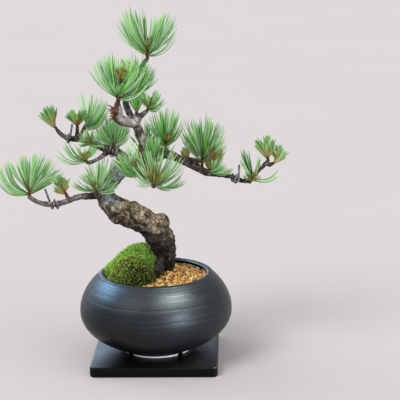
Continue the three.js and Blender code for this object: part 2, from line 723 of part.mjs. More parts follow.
const meshRoom = DRAIN_MESH.side + 2 * GAP;
const meshSpace = solid(
  box(meshRoom, meshRoom, 2 * (DRAIN_MESH.thick + GAP), 0, 0, POT.floorTop),
);
const soilBody = cut(potFill(POT.floorTop, SOIL_TOP), [meshSpace, ...smoothSocket]);
place(filling, "soil", geometryOf(soilBody), "soil");
const frontMoss = mossDome(MOSS_FRONT).intersect(mossRoom());
const backMoss = mossDome(MOSS_BACK).intersect(mossRoom());
const [frontSpace, backSpace] = [MOSS_FRONT, MOSS_BACK].map((moss) => mossDome(moss, GAP + 0.1));
place(filling, "moss_front", geometryOf(cut(frontMoss, barkSocket)), "mossDark");
place(filling, "moss_back", geometryOf(cut(backMoss, [frontSpace, ...barkSocket])), "mossBright");
const gravelBody = potFill(SOIL_TOP + GAP, POT.rimZ - POT.lip).intersect(gravelRelief());
place(filling, "gravel", geometryOf(cut(gravelBody, [frontSpace, backSpace, ...smoothSocket])), "gravel");

place(tree, "trunk", geometryOf(wood), "bark");
for (const { name, tube } of wires) {
  place(tree, name, tube.tube(WIRE.sides, Math.round(tube.curve.getLength() / WIRE.step)), "wire");
}
SPRAYS.forEach((spray, i) => {
  const look = spray.name.startsWith("candle") ? "candles" : "needles";
  place(tree, spray.name, geometryOf(sprayOf(spray, FIRST_SEED + i, obstacles)), look);
});

const bonsai = new THREE.Group();
bonsai.add(pottery, filling, tree);
export default bonsai;
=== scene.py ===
"""The looks of a small five-needle pine grown as a bonsai, in a round dark pot on a square saucer.

Everything is in metres, +Z up, with the viewer on the -Y side. Places taken from the tree are listed in
millimetres, as they were measured, and turned into metres where they are used.
"""
import math

import bmesh
import bpy
import numpy as np
from mathutils import Matrix, Vector, kdtree, noise


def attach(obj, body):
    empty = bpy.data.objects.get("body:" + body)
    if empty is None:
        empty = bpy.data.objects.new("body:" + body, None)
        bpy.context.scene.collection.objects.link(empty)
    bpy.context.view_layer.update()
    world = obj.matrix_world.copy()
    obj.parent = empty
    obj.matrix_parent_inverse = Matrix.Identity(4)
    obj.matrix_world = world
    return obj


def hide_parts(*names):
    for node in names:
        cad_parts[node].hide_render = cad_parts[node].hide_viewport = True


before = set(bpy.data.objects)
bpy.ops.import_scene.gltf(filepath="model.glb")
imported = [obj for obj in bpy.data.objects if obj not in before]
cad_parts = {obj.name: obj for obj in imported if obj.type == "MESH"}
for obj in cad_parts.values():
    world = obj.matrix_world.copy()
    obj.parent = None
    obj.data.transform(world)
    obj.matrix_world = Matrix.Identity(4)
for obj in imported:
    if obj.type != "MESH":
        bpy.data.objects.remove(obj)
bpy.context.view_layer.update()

MM = 0.001
TURN = 2 * math.pi
GOLDEN_ANGLE = math.pi * (3 - math.sqrt(5))
UP = np.array([0.0, 0.0, 1.0])
SEEDS = dict(bark=7, pot=5, gravel=9, curls=31, shoots=100)  # the shoots are numbered from theirs
noise.seed_set(SEEDS["bark"])  # noise_vector gives another result each run unless it is seeded

# ---- Driving dimensions, in millimetres ----
GAP = 0.3
SAUCER = dict(
    side=106, height=8.5, corner=5, edge=1.6, sharpest=0.2, insets=[3, 6, 12, 20, 30, 40, 50],
    per_corner=10, per_edge=7,
)
# The outside and the inside of the wall: radius at the equator, then half height below and above it.
POT = dict(
    equator_z=43.5, outside=[65, 36, 47], inside=[61, 32, 44], rim_z=76, lip=1.5, floor_under=11.7,
    floor_top=16, foot_inner=25.5, foot_outer=30, drain=6, wall_points=110, segments=224,
)
WHEEL_RINGS = [[0.035, 6.1], [0.035, 3.3], [0.03, 2.1], [0.02, 1.1]]  # how high, and how far apart
NOTCH = dict(count=4, width=6, height=2)
SOIL_TOP = 66.5
GRAVEL_TOP = 71.6
MOUND = dict(centre=[12, 6], height=5, reach=15)  # the gravel is heaped against the trunk
# Stations along the wood: x, y, z and radius.
TRUNK = [
    [11.5, 6, 66, 3], [11.2, 5, 73, 4], [10.4, 3, 80, 5.6], [9.7, 1.5, 87, 8], [8.6, 1.2, 93, 9.6],
    [7.2, 1.5, 98.5, 10.8], [4.6, 2, 106, 11.2], [-3.8, 1.5, 116.3, 10.9], [-16.8, -1, 124.5, 11.4],
    [-29, -5, 131, 11], [-36.5, -6, 137.8, 8.8], [-40.6, -5.5, 145.3, 7], [-37.4, -3, 152.8, 6.4],
    [-28.9, 2, 161.3, 6], [-19.8, 6, 169, 5.4], [-11.5, 8, 175.4, 4.9], [-8.2, 8, 183, 4.4],
    [-10.5, 7, 192.6, 4], [-14.5, 7, 202.5, 3.6],
]
ROOTS = [
    [
        [8.5, -0.5, 92, 6.5], [5.2, -3.5, 85, 4.8], [2.6, -6, 79, 3.9], [-0.2, -8.6, 72.6, 3.1],
        [-2, -10.4, 68.4, 1.6],
    ],
    [[12.4, 2, 90, 5.6], [13.4, 4, 82.5, 3.6], [14, 5.4, 76.5, 2.4], [14.6, 6.4, 70, 1.5]],
    [[7, 5, 88, 5.2], [4.5, 9, 78, 3.6], [3, 11.5, 69, 1.4]],
]
KNUCKLES = [  # the middle of each swelling of the wood, and its size to each side
    [[4.8, 1.2, 119], [8.6, 9.4, 7.8]],
    [[-29.5, -7, 125.6], [7.5, 7, 6]],
    [[-19, -1, 132.8], [7.5, 8, 4.6]],
    [[11, 1, 96.5], [7.4, 8, 9]],
]
LIMBS = {
    "riser": [
        [-14.5, 6, 202, 3.6], [-22, 3, 204.3, 4.2], [-28, 0, 208.3, 4.6], [-28.4, -2, 215, 4.4],
        [-27.8, -4, 221.4, 2.4],
    ],
    "apex": [
        [-14.5, 7, 201, 3.4], [-19, 9, 210, 3], [-22.3, 11, 218.3, 2.7], [-20.4, 12, 229.9, 2.4],
        [-11.5, 10, 245, 2.1], [-4.6, 8, 255, 1.8],
    ],
    "crown": [[-14, 7, 202, 3], [-10.3, 5, 208, 2.4], [-5.2, 1, 213, 1.9]],
    "low_left": [
        [-36, -6, 140, 5], [-43.5, -8, 144.4, 3.4], [-52.3, -12, 144.6, 3], [-61.8, -16, 144.9, 2.6],
        [-70, -18, 142.2, 2.5], [-78.9, -20, 140, 2.3], [-88.5, -22, 140.6, 2.2],
        [-96.5, -22, 143.4, 2], [-101.4, -22, 146.6, 1.8],
    ],
    "up_left": [
        [-20.6, 6, 169.9, 4.4], [-30.3, 4, 178.6, 3.8], [-40.7, 0, 183, 3.3], [-50.1, -4, 187.6, 2.8],
        [-59.7, -6, 191.5, 2.5], [-70.5, -6, 192.8, 2.2], [-76, -6, 196.5, 1.9],
    ],
    "up_left_low": [[-36, 2, 181, 2.8], [-41.7, -4, 177, 2], [-48, -10, 174, 1.7], [-52, -14, 173.6, 1.6]],
    "right": [
        [-11.5, 8, 176, 4.4], [4, 6, 177.6, 4], [15.8, 4, 175.4, 3.7], [25.9, 0, 171.5, 3.5],
        [35.2, -4, 167.9, 3.5], [44.3, -6, 163, 3], [55.9, -6, 161.2, 2.5], [65.9, -4, 158.6, 2.2],
        [74, -2, 154.8, 2], [81.5, 1, 155, 2], [88, 4, 162, 1.9], [94.5, 5, 168, 1.8],
    ],
    "front": [[-13, 6, 173, 3.6], [-5.5, -12, 169.5, 2.8], [0, -28, 163.5, 2.2], [2.4, -38, 159.4, 1.9]],
    "back": [[-18, 7, 170, 3.4], [-12, 20, 168, 2.6], [-6, 31, 163, 2]],
    "right_back": [[24, 1, 172, 3], [31, 11, 170.5, 2.2], [38, 22, 167, 1.8]],
    "left_back": [[-39, -4, 146, 4], [-43, 7, 143, 2.4], [-44.5, 16, 143, 1.9]],
}
SCAR = [[-22, 5, 168, 4], [-25, -1, 170, 4], [-26.5, -4.5, 171, 3.6]]
# Name, look, limb, share of its length from and to, turns, the angle it starts at, and the straight tail.
WIRES = [
    ["wire_low_left", "dull", "low_left", 0.64, 0.73, 1.6, 2.2, [-4, -1, 13]],
    ["wire_up_left", "dull", "up_left", 0.9, 0.85, 1.6, -0.8, [2.6, -2, 13]],
    ["wire_up_left_inner", "dull", "up_left", 0.2, 0.34, 1.5, 0.4, None],
    ["wire_right", "bright", "right", 0.7, 0.74, 1.6, 2.4, [0.5, -1, 13]],
]
WIRE = dict(radius=0.85, gap=0.45, per_turn=16, step=0.8, sides=12)
# Each shoot: name, limb, where its twig ends, the way it points, and its fan. A fan that the picture shows is
# a list of sheaves: angle from upright in degrees, to the right positive, reach in millimetres, needles, and
# for some the lean towards the viewer. A fan on the far side is a set of reach, needles and spread.
# Last come the settings that differ from the common ones, such as the place, tilt and size of its heart.
SPRAYS = [
    ["needles_apex", "apex", [-3.6, 8, 257.6], [0.02, -0.05, 1], [
        [-46, 32, 4], [-37, 37, 9], [-30, 41, 15], [-21, 43, 18], [-13, 43, 15], [-4, 38, 9], [9, 34, 9],
        [17, 38, 14], [25, 41, 15], [33, 42, 14], [41, 40, 9], [47, 36, 6]]],
    ["needles_crown_left", "riser", [-27.6, -4, 223.6], [-0.08, -0.2, 1], [
        [-39, 37, 5], [-26, 40, 14], [-20, 40, 15], [-14, 41, 12], [-8, 40, 12, -16], [3, 36, 8, -20],
        [9, 37, 8, -20], [16, 38, 12, -16], [22, 38, 14, -10], [29, 37, 16], [38, 39, 14], [49, 38, 11],
        [57, 39, 6], [66, 32, 4], [-16, 20, 9, 30], [0, 16, 10, 36], [12, 16, 10, 34], [25, 18, 9, 30]],
        dict(lean=-4, depth=34, pale=0.35, heart=[[0, 0, 5], 5, 0])],
    ["needles_crown_right", "apex", [-17, 8, 228], [0.5, -0.1, 0.85], [
        [-12, 31, 8], [4, 33, 10], [14, 34, 12], [24, 34, 14], [36, 30, 14], [46, 28, 12], [57, 26, 8]],
        dict(lean=16, depth=26)],
    ["candle_crown", "riser", [-24.3, -6.5, 240.5], [0.1, -0.25, 1], [
        [-34, 10, 7], [-18, 12, 9], [-2, 13, 10], [14, 13, 9], [30, 11, 7]],
        dict(root_at=0.97, ripe=0.62, light=1.0, thickness=0.8)],
    ["needles_crown_inner", "crown", [-12.8, 1, 212.5], [0.1, -0.2, 1], [
        [-22, 14, 6], [-10, 16, 9], [3, 18, 9], [14, 17, 7], [22, 15, 4]],
        dict(light=1.2, thickness=0.7, heart=[[0, -1, 1], 0, 5])],
    ["needles_crown_low", "crown", [-3.6, -1, 214.8], [0.35, -0.5, 0.8], [
        [-24, 15, 6], [-8, 20, 9], [6, 21, 10], [22, 20, 11], [40, 18, 11], [58, 17, 9], [78, 14, 7],
        [98, 10, 4]],
        dict(lean=26, depth=30, light=0.85, heart=[[1, -4, 3], 12, 10])],
    ["candle_up_left_tip", "up_left", [-78.7, -6, 200.2], [-0.5, -0.05, 0.85], [
        [-50, 16, 6], [-43, 19, 9], [-34, 20, 10], [-25, 21, 10], [-16, 22, 9], [-8, 22, 6], [0, 15, 3]],
        dict(thickness=0.75, light=0.95)],
    ["candle_up_left", "up_left", [-61.3, -9, 203], [0.05, -0.2, 1], [
        [-36, 15, 9], [-26, 16, 10], [-14, 15, 6], [1, 13, 4], [14, 14, 6], [26, 17, 10], [35, 16, 7]],
        dict(thickness=0.75, light=0.85)],
    ["needles_up_left_long", "up_left", [-58.5, 3, 197.5], [0.45, 0.1, 0.9], [
        [-12, 36, 4], [0, 36, 3], [9, 35.5, 4], [21, 33, 9], [33, 33, 13], [41, 32, 14], [49, 29, 12],
        [58, 26, 9]], dict(pale=0.5, light=0.8)],
    ["needles_up_left_face", "up_left", [-50.3, -9, 188.5], [0.05, -0.85, 0.5], [
        [-95, 12, 7], [-65, 15, 9], [-42, 17, 10], [-15, 18, 10], [15, 18, 10], [42, 17, 10], [65, 15, 9],
        [95, 14, 7], [-20, 12, 7, 75], [20, 12, 7, 75], [90, 15, 7, 60]],
        dict(lean=46, depth=16, pale=0.3, heart=[[0, -6, 1], 10, 8])],
    ["needles_up_left_back", "up_left", [-34, 14, 181], [0, 0.15, 1], [
        [-45, 22, 8], [-35, 25, 11], [-25, 27, 13], [-14, 28, 13], [-4, 28, 13], [6, 28, 13], [17, 28, 13],
        [28, 26, 12], [38, 24, 8], [48, 20, 5]], dict(pale=0.45, light=1.3)],
    ["needles_up_left_low", "up_left_low", [-53.3, -16, 174.6], [-0.5, -0.3, 0.8], [
        [-78, 24, 4], [-68, 27, 4], [-54, 27, 4], [-45, 23, 4], [-38, 18, 4], [-60, 11, 4], [-27, 14, 6],
        [0, 13, 6], [20, 17, 8], [36, 17, 8]], dict(depth=24, pale=0.3, hook=40, heart=[[0, -4, 2], -8, 8])],
    ["needles_middle", "right", [10.5, 7, 182], [-0.1, -0.05, 1], [
        [-38, 33, 5], [-32, 33, 5], [-22, 33, 9], [-11, 35, 13], [-1, 36, 14], [8, 34, 12], [19, 34, 13],
        [29, 29, 9], [36, 24, 5]], dict(light=0.75, pale=0.28, heart=[[2.5, -7, 6], 4, 8])],
    ["needles_right", "right", [41, -7, 171], [0.08, -0.15, 1], [
        [-28, 36, 8], [-22, 38, 9], [-16, 41, 14], [-7, 42, 15], [2, 41, 14], [10, 41, 14], [19, 39, 13],
        [28, 38, 13], [37, 38, 10], [48, 29, 6], [58, 21, 6], [-40, 12, 5], [-10, 14, 6], [30, 14, 6]],
        dict(light=0.32, pale=0.12, heart=[[9, -11, 4], 14, 15])],
    ["candle_right_bud", "right", [30, -7, 174.5], [-0.25, -0.2, 0.9], [
        [-38, 11, 7], [-26, 12, 9], [-12, 12.5, 10], [2, 12, 8], [14, 11, 5]], dict(ripe=0.66, light=0.75)],
    ["needles_right_side", "right", [44.8, -10.5, 165], [0.85, -0.3, 0.45], [
        [24, 21, 6], [33, 25, 9], [41, 21, 7], [60, 17, 6], [76, 20, 10], [86, 23, 10], [98, 19, 5]],
        dict(depth=22, light=0.42, pale=0.16, heart=[[1, -3, 3], 15, 8])],
    ["needles_right_few", "right", [81.5, -4, 155.8], [0.25, -0.4, 0.8], [
        [-25, 27, 4], [-18, 30, 6], [-11, 28, 4], [18, 26, 4], [25, 24, 3], [40, 11, 2], [66, 27, 2],
        [78, 25, 2], [-55, 9, 2]],
        dict(depth=12, thickness=0.62, part=3, light=0.4, hook=60, heart=[[0, -2, -0.5], 20, 10])],
    ["candle_right_tip", "right", [96, 5, 171.5], [-0.12, -0.1, 1], [
        [-38, 18, 4], [-28, 20, 5], [-17, 22, 6], [-6, 21, 6], [5, 22, 6], [15, 21, 5], [25, 17, 4]],
        dict(depth=26, thickness=0.95, light=1.0, pale=0.3)],
    ["candle_right_end", "right", [99.8, 3, 168.2], [0.85, -0.1, 0.5], [
        [-8, 13, 4], [8, 17, 6], [20, 18, 6], [32, 17, 6], [44, 17, 5], [47, 22, 2], [60, 13, 3]],
        dict(depth=26, thickness=0.9, light=1.0, pale=0.3)],
    ["needles_front", "front", [3.1, -42, 159.2], [0.15, -0.55, 0.75], [
        [-84, 15, 5], [-58, 20, 6], [-38, 25, 8], [-20, 30, 6], [-6, 31, 6], [8, 30, 7], [17, 31, 8],
        [28, 34, 12], [41, 34, 13], [54, 33, 11], [66, 32, 7], [78, 29, 6], [102, 18, 4],
        [-26, 34, 6, 56], [36, 34, 6, 60]],
        dict(lean=14, light=0.3, pale=0.08, hook=60, heart=[[1, -12, 4], 4, 16])],
    ["needles_front_left", "front", [-5, -29, 165], [-0.85, -0.15, 0.62], [
        [-80, 20, 6], [-69, 25, 10], [-59, 29, 14], [-50, 32, 14], [-42, 32, 12], [-31, 29, 9], [-20, 32, 5]],
        dict(light=0.58, pale=0.14, heart=[[-6, -8, 9], -20, 8])],
    ["needles_front_up", "front", [2, -13, 171.5], [0.05, -0.05, 1], [
        [-26, 20, 6], [-13, 24, 10], [-3, 25, 12], [7, 25, 12], [19, 23, 10], [32, 20, 7]],
        dict(light=0.35, pale=0.08)],
    ["needles_low", "low_left", [-46.7, -15, 149], [0.15, -0.45, 0.85], [
        [-70, 21, 5], [-57, 20, 5], [-42, 17, 5], [-28, 22, 6], [-19, 21, 6], [-6, 17, 6], [8, 26, 7],
        [18, 28, 9], [27, 28, 9], [41, 22, 8], [55, 20, 9], [68, 22, 7], [82, 19, 5]],
        dict(light=0.5, pale=0.12, heart=[[0.5, -5, 3], 2, 9])],
    ["needles_far_left", "low_left", [-101, -22, 147.6], [0.04, -0.1, 1], [
        [-56, 34, 6], [-50, 37, 8], [-44, 38, 8], [-37, 36, 9], [-30, 35, 9], [-15, 36, 11], [-10, 36, 10],
        [-3, 33, 6], [6, 35, 12], [12, 36, 12], [19, 37, 12], [24, 37, 8], [33, 35, 9], [38, 36, 9],
        [45, 38, 12], [50, 38, 12], [56, 34, 5]], dict(pale=0.3, light=0.5, straight=18, hook=34, part=4)],
    ["candle_low_left", "low_left", [-71, -19.5, 148], [-0.4, -0.2, 0.85], [
        [-60, 12, 5], [-46, 15, 7], [-32, 17, 9], [-18, 17, 9], [-4, 16, 8], [9, 14, 6], [22, 11, 3]],
        dict(thickness=0.75, light=1.0, ripe=0.86)],
    ["needles_back", "back", [-3.4, 36, 162], [0, 0.6, 0.8], dict(reach=30, needles=85, spread=60)],
    ["needles_back_up", "back", [-6, 24, 174], [0.2, 0.35, 0.9], dict(reach=27, needles=75, spread=45)],
    ["needles_right_back", "right_back", [40.3, 26, 168.5], [0.1, 0.5, 0.85],
        dict(reach=30, needles=85, spread=50)],
    ["needles_left_back", "left_back", [-44.7, 20, 146], [-0.1, 0.6, 0.8],
        dict(reach=28, needles=85, spread=55)],
    ["needles_crown_back", "apex", [-25, 20, 224], [-0.05, 0.55, 0.85],
        dict(reach=30, needles=85, spread=50)],
]
MOSS_PAINTED_LIGHT = np.array([-0.42, -0.05, 0.34])  # painted light: lighter on top and on the left, darker on the right by the trunk
# The cushions: middle, size to each side, and how far the left side slumps. Then their leaves: length, how
# loosely they stand, the number of stars and the leaves of each, and their colours from the foot to the tip.
MOSS = {
    "moss_back": dict(
        centre=[-12, 8], left=34, right=20, deep=24, height=30.5, slump=5,
        look="moss_bright", seed=21, leaf=2.9, loose=0.45, stars=7000, leaves=2,
        colours=[(0.012, 0.036, 0.004), (0.125, 0.330, 0.030), (0.520, 0.800, 0.190)],
    ),
    "moss_front": dict(
        centre=[-20, -15], left=17.5, right=21.5, deep=19.5, height=25.5, slump=1,
        look="moss_dark", seed=22, leaf=2.5, loose=0.6, stars=430, leaves=16,
        colours=[(0.001, 0.004, 0.001), (0.020, 0.055, 0.004), (0.500, 0.660, 0.130)],
    ),
}


# ---- Camera, light and floor ----
CAMERA = dict(place=(0.0641, -0.984, 0.3584), down=12.62, left=1.47, roll=-0.75, lens=108)
FLOOR = dict(reach=14, thick=0.02)


def make_camera():
    down, turn, roll = (math.radians(CAMERA[k]) for k in ("down", "left", "roll"))
    ahead = Vector((-math.sin(turn) * math.cos(down), math.cos(turn) * math.cos(down), -math.sin(down)))
    right = Vector((math.cos(turn), math.sin(turn), 0))
    above = right.cross(ahead)
    level = right * math.cos(roll) + above * math.sin(roll)
    upright = above * math.cos(roll) - right * math.sin(roll)
    camera = bpy.data.objects.new("camera", bpy.data.cameras.new("camera"))
    camera.data.lens = CAMERA["lens"]
    facing = Matrix((level, upright, -ahead)).transposed().to_4x4()
    camera.matrix_world = Matrix.Translation(CAMERA["place"]) @ facing
    bpy.context.scene.collection.objects.link(camera)
    bpy.context.scene.camera = camera


# Even light over the whole floor: the way each lamp shines, strength, angle in degrees, colour.
SUNS = {
    "key": [(0.55, 0.55, -0.75), 1.75, 30, (1.0, 0.985, 0.96)],
    "window": [(0.75, -0.45, -0.40), 0.85, 50, (0.86, 0.93, 1.0)],
    "fill": [(-0.7, 0.45, -0.45), 0.75, 60, (1.0, 0.96, 0.93)],
}
# Softboxes that only draw the sheens of the glazes: place, size, power in watts, colour, and the piece.
SOFTBOXES = {
    "sheen_left": [(-0.72, 0.34, 0.70), (0.66, 0.34), 30, (0.30, 0.62, 1.0), "pot_glazed"],
    "sheen_right": [(0.52, -0.50, 1.12), (0.70, 0.34), 66, (0.84, 1.0, 0.98), "pot_glazed"],
    "sheen_low": [(0.75, -0.95, 0.26), (0.26, 0.20), 30, (0.62, 0.76, 1.0), "pot_glazed"],
    "sheen_back": [(-0.45, 1.60, 0.50), (0.50, 0.50), 4, (0.62, 0.76, 1.0), "pot_glazed"],
    "sheen_low_left": [(-0.50, 1.40, 0.48), (0.90, 0.60), 13, (0.55, 0.72, 1.0), "saucer_glazed"],
    "sheen_low_right": [(0.80, 0.15, 0.80), (0.60, 0.60), 60, (0.95, 0.97, 1.0), "saucer_glazed"],
}
AIM = (0, 0, 0.06)


def add_lamp(kind, name, colour, facing, place=(0, 0, 1)):
    lamp = bpy.data.lights.new(name, kind)
    lamp.color = colour
    thing = bpy.data.objects.new(name, lamp)
    thing.location = place
    thing.rotation_euler = Vector(facing).to_track_quat("-Z", "Y").to_euler()
    bpy.context.scene.collection.objects.link(thing)
    return lamp


def make_lights():
    for name, (facing, strength, angle, colour) in SUNS.items():
        lamp = add_lamp("SUN", name, colour, facing)
        lamp.energy = strength
        lamp.angle = math.radians(angle)
    for name, (place, size, power, colour, piece) in SOFTBOXES.items():
        lamp = add_lamp("AREA", name, colour, Vector(AIM) - Vector(place), place)
        lamp.shape = "RECTANGLE"
        lamp.size, lamp.size_y = size
        lamp.energy = power
        lit = bpy.data.collections.new(name)
        lit.objects.link(bpy.data.objects[piece])
        bpy.data.objects[name].light_linking.receiver_collection = lit
    world = bpy.data.worlds.new("studio")
    world.use_nodes = True
    sky = world.node_tree.nodes["Background"]
    sky.inputs["Color"].default_value = (0.93, 0.94, 0.97, 1)
    sky.inputs["Strength"].default_value = 0.62
    bpy.context.scene.world = world
    bpy.context.scene.view_settings.view_transform = "Standard"


# ---- Procedural materials ----
class Look:
    """A Principled material and short names for the nodes that shape it."""

    def __init__(self, name, **constants):
        self.material = bpy.data.materials.new(name)
        self.material.use_nodes = True
        self.nodes = self.material.node_tree.nodes
        self.shader = self.nodes["Principled BSDF"]
        for socket, value in constants.items():
            self.shader.inputs[socket.replace("_", " ")].default_value = value

    def node(self, kind, inputs, **settings):
        made = self.nodes.new("ShaderNode" + kind)
        for name, value in settings.items():
            setattr(made, name, value)
        for name, value in inputs.items():
            self.feed(made.inputs[name], value)
        return made

    def feed(self, socket, value):
        if isinstance(value, bpy.types.NodeSocket):
            self.material.node_tree.links.new(value, socket)
        else:
            socket.default_value = value

    def set(self, name, value):
        self.feed(self.shader.inputs[name], value)

    def attribute(self, name):
        return self.node("Attribute", {}, attribute_name=name).outputs["Fac"]

    def place(self, scale=(1, 1, 1)):
        where = self.node("TexCoord", {}).outputs["Object"]
        return self.node("Mapping", {"Vector": where, "Scale": scale}).outputs["Vector"]

    def noise(self, scale, detail=3.0, roughness=0.55, stretch=(1, 1, 1)):
        inputs = {"Vector": self.place(stretch), "Scale": scale, "Detail": detail, "Roughness": roughness}
        return self.node("TexNoise", inputs).outputs["Fac"]

    def cells(self, scale, feature="F1"):
        inputs = {"Vector": self.place(), "Scale": scale}
        return self.node("TexVoronoi", inputs, feature=feature).outputs["Distance"]

    def math(self, operation, a, b=0.0):
        made = self.nodes.new("ShaderNodeMath")
        made.operation = operation
        self.feed(made.inputs[0], a)
        self.feed(made.inputs[1], b)
        return made.outputs[0]

    def between(self, value, low, high, to_low=0.0, to_high=1.0):
        inputs = {"Value": value, "From Min": low, "From Max": high, "To Min": to_low, "To Max": to_high}
        return self.node("MapRange", inputs).outputs["Result"]

    def ramp(self, factor, *stops):
        made = self.node("ValToRGB", {"Fac": factor})
        elements = made.color_ramp.elements
        while len(elements) < len(stops):
            elements.new(0.5)
        for element, (position, colour) in zip(elements, stops):
            element.position = position
            element.color = (*colour, 1)
        return made.outputs["Color"]

    def mix(self, factor, a, b, blend="MIX"):
        made = self.node("Mix", {}, data_type="RGBA", blend_type=blend)
        self.feed(made.inputs["Factor"], factor)
        for name, value in (("A", a), ("B", b)):
            socket = [s for s in made.inputs if s.name == name and s.type == "RGBA"][0]
            self.feed(socket, value if isinstance(value, bpy.types.NodeSocket) else (*value, 1))
        return [s for s in made.outputs if s.type == "RGBA"][0]

    def bump(self, height, distance, strength=1.0):
        inputs = {"Height": height, "Distance": distance, "Strength": strength}
        self.set("Normal", self.node("Bump", inputs).outputs["Normal"])

    def times(self, a, b):
        return self.math("MULTIPLY", a, b)

    def total(self, a, share_a, b, share_b):
        """Two values together, each times its share."""
        return self.math("ADD", self.times(a, share_a), self.times(b, share_b))

    def shaded(self, colour, amount):
        """The colour made darker or lighter by an amount."""
        grey = self.node("CombineColor", dict.fromkeys(("Red", "Green", "Blue"), amount)).outputs["Color"]
        return self.mix(1.0, colour, grey, "MULTIPLY")


def glaze_look():
    """A dark satin glaze with fine rings from the wheel, and bare clay at the foot."""
    look = Look("pot_glaze")
    rings = look.noise(620, 4, 0.7, stretch=(0.008, 0.008, 1))
    cloud, speck = look.noise(24, 3, 0.5), look.noise(1500, 2, 0.5)
    tone = look.total(rings, 0.55, cloud, 0.45)
    glaze = look.ramp(tone, (0.35, (0.0030, 0.0031, 0.0032)), (0.7, (0.0068, 0.0070, 0.0073)))
    clay = look.ramp(speck, (0.3, (0.42, 0.33, 0.28)), (0.7, (0.72, 0.60, 0.52)))
    bare = look.attribute("bare")
    look.set("Base Color", look.mix(bare, glaze, clay))
    satin = look.between(rings, 0.3, 0.7, 0.30, 0.46)
    look.set("Roughness", look.math("MAXIMUM", satin, look.times(bare, 0.8)))
    look.set("Specular IOR Level", look.between(bare, 0.0, 1.0, 0.17, 0.2))
    look.bump(look.total(rings, 0.8, speck, 0.2), 0.0004, 0.7)
    return look.material


def saucer_look():
    look = Look("saucer_glaze", Specular_IOR_Level=0.09)
    cloud = look.noise(30, 4, 0.6)
    glaze = look.ramp(cloud, (0.3, (0.0024, 0.0024, 0.0027)), (0.75, (0.0044, 0.0044, 0.0049)))
    look.set("Base Color", glaze)
    look.set("Roughness", look.between(cloud, 0.3, 0.7, 0.36, 0.46))
    look.bump(look.noise(900, 2, 0.5), 0.00008, 0.35)
    return look.material


BARK_COLOURS = {
    "old": [
        (0.33, (0.060, 0.040, 0.026)), (0.45, (0.220, 0.168, 0.105)), (0.56, (0.420, 0.340, 0.235)),
        (0.68, (0.660, 0.570, 0.430)),
    ],
    "young": [(0.34, (0.022, 0.016, 0.012)), (0.50, (0.085, 0.066, 0.052)), (0.68, (0.290, 0.250, 0.220))],
    "wet": [(0.42, (0.005, 0.004, 0.004)), (0.57, (0.024, 0.020, 0.019)), (0.68, (0.150, 0.130, 0.120))],
    "pale": [(0.35, (0.360, 0.310, 0.300)), (0.60, (0.800, 0.750, 0.740))],
    "red": [(0.35, (0.055, 0.016, 0.012)), (0.65, (0.230, 0.095, 0.075))],
    "blue": [(0.35, (0.130, 0.155, 0.165)), (0.65, (0.460, 0.540, 0.570))],
}


def bark_look():
    """Flaky bark: the mesh carries its cracks, its plates, the places of each kind of wood and its painted
    shade underneath.
    """
    look = Look("bark", Specular_IOR_Level=0.3)
    thick, wet, crack = (look.attribute(name) for name in ("thick", "wet", "crack"))
    fine, coarse = look.noise(1100, 4, 0.7), look.noise(330, 4, 0.65)
    tone = look.total(look.attribute("plate"), 0.25, coarse, 0.75)
    kinds = {name: look.ramp(tone, *stops) for name, stops in BARK_COLOURS.items()}
    colour = look.mix(thick, kinds["young"], kinds["old"])
    for name in ("wet", "pale", "red", "blue"):
        colour = look.mix(look.attribute(name), colour, kinds[name])
    lichen = look.times(look.between(look.noise(210, 5, 0.7), 0.55, 0.64), look.math("SUBTRACT", thick, wet))
    colour = look.mix(look.times(lichen, 0.55), colour, (0.460, 0.470, 0.230))
    # Near-black in the cracks: partly the fissures' own colour, partly painted shade, and painted shade along
    # the creases.
    colour = look.mix(look.times(crack, 0.9), colour, (0.014, 0.010, 0.007))
    # Painted shade: darker where the skin faces down, most on thick wood, and a little lighter where it faces
    # up.
    under = look.between(look.attribute("under"), 0.0, 1.0, 1.15, 0.22)
    grain = look.times(look.between(fine, 0.3, 0.7, 0.5, 1.5), under)
    look.set("Base Color", look.shaded(colour, grain))
    look.set("Roughness", look.between(wet, 0.0, 1.0, 0.88, 0.5))
    look.bump(look.total(fine, 1.0, coarse, 1.5), 0.0005, 0.8)
    return look.material


# Needles in shade and in light, each from the sheath to the tip.
NEEDLE_COLOURS = {
    "needles": [
        [
            (0.0, (0.110, 0.055, 0.020)), (0.06, (0.050, 0.085, 0.008)), (0.16, (0.006, 0.085, 0.004)),
            (0.75, (0.009, 0.130, 0.006)), (1.0, (0.025, 0.160, 0.012)),
        ], [
            (0.0, (0.300, 0.180, 0.040)), (0.06, (0.320, 0.380, 0.035)), (0.16, (0.120, 0.510, 0.020)),
            (0.75, (0.180, 0.700, 0.040)), (1.0, (0.320, 0.750, 0.085)),
        ],
    ],
    "young_needles": [
        [
            (0.0, (0.080, 0.034, 0.010)), (0.25, (0.170, 0.095, 0.014)), (0.50, (0.120, 0.140, 0.016)),
            (0.70, (0.030, 0.130, 0.014)), (1.0, (0.012, 0.085, 0.009)),
        ], [
            (0.0, (0.300, 0.130, 0.030)), (0.30, (0.480, 0.330, 0.055)), (0.60, (0.360, 0.450, 0.070)),
            (0.78, (0.150, 0.450, 0.050)), (1.0, (0.110, 0.420, 0.060)),
        ],
    ],
}


def needle_look(name, palest):
    """Green on the outer face, with the pale bands of the two inner faces, brown at the sheath."""
    look = Look(name, Roughness=0.4, Specular_IOR_Level=0.45)
    along, tone, band = (look.attribute(n) for n in ("along", "tone", "band"))
    shade, light = (look.ramp(along, *stops) for stops in NEEDLE_COLOURS[name])
    pale = look.times(band, look.between(look.noise(900, 2, 0.5), 0.35, 0.65, 0.7, 0.95))
    pale = look.times(pale, look.between(along, 0.05, 0.25, 0.0, palest))
    look.set("Base Color", look.mix(pale, look.mix(tone, shade, light), (0.70, 0.95, 0.62)))
    return look.material


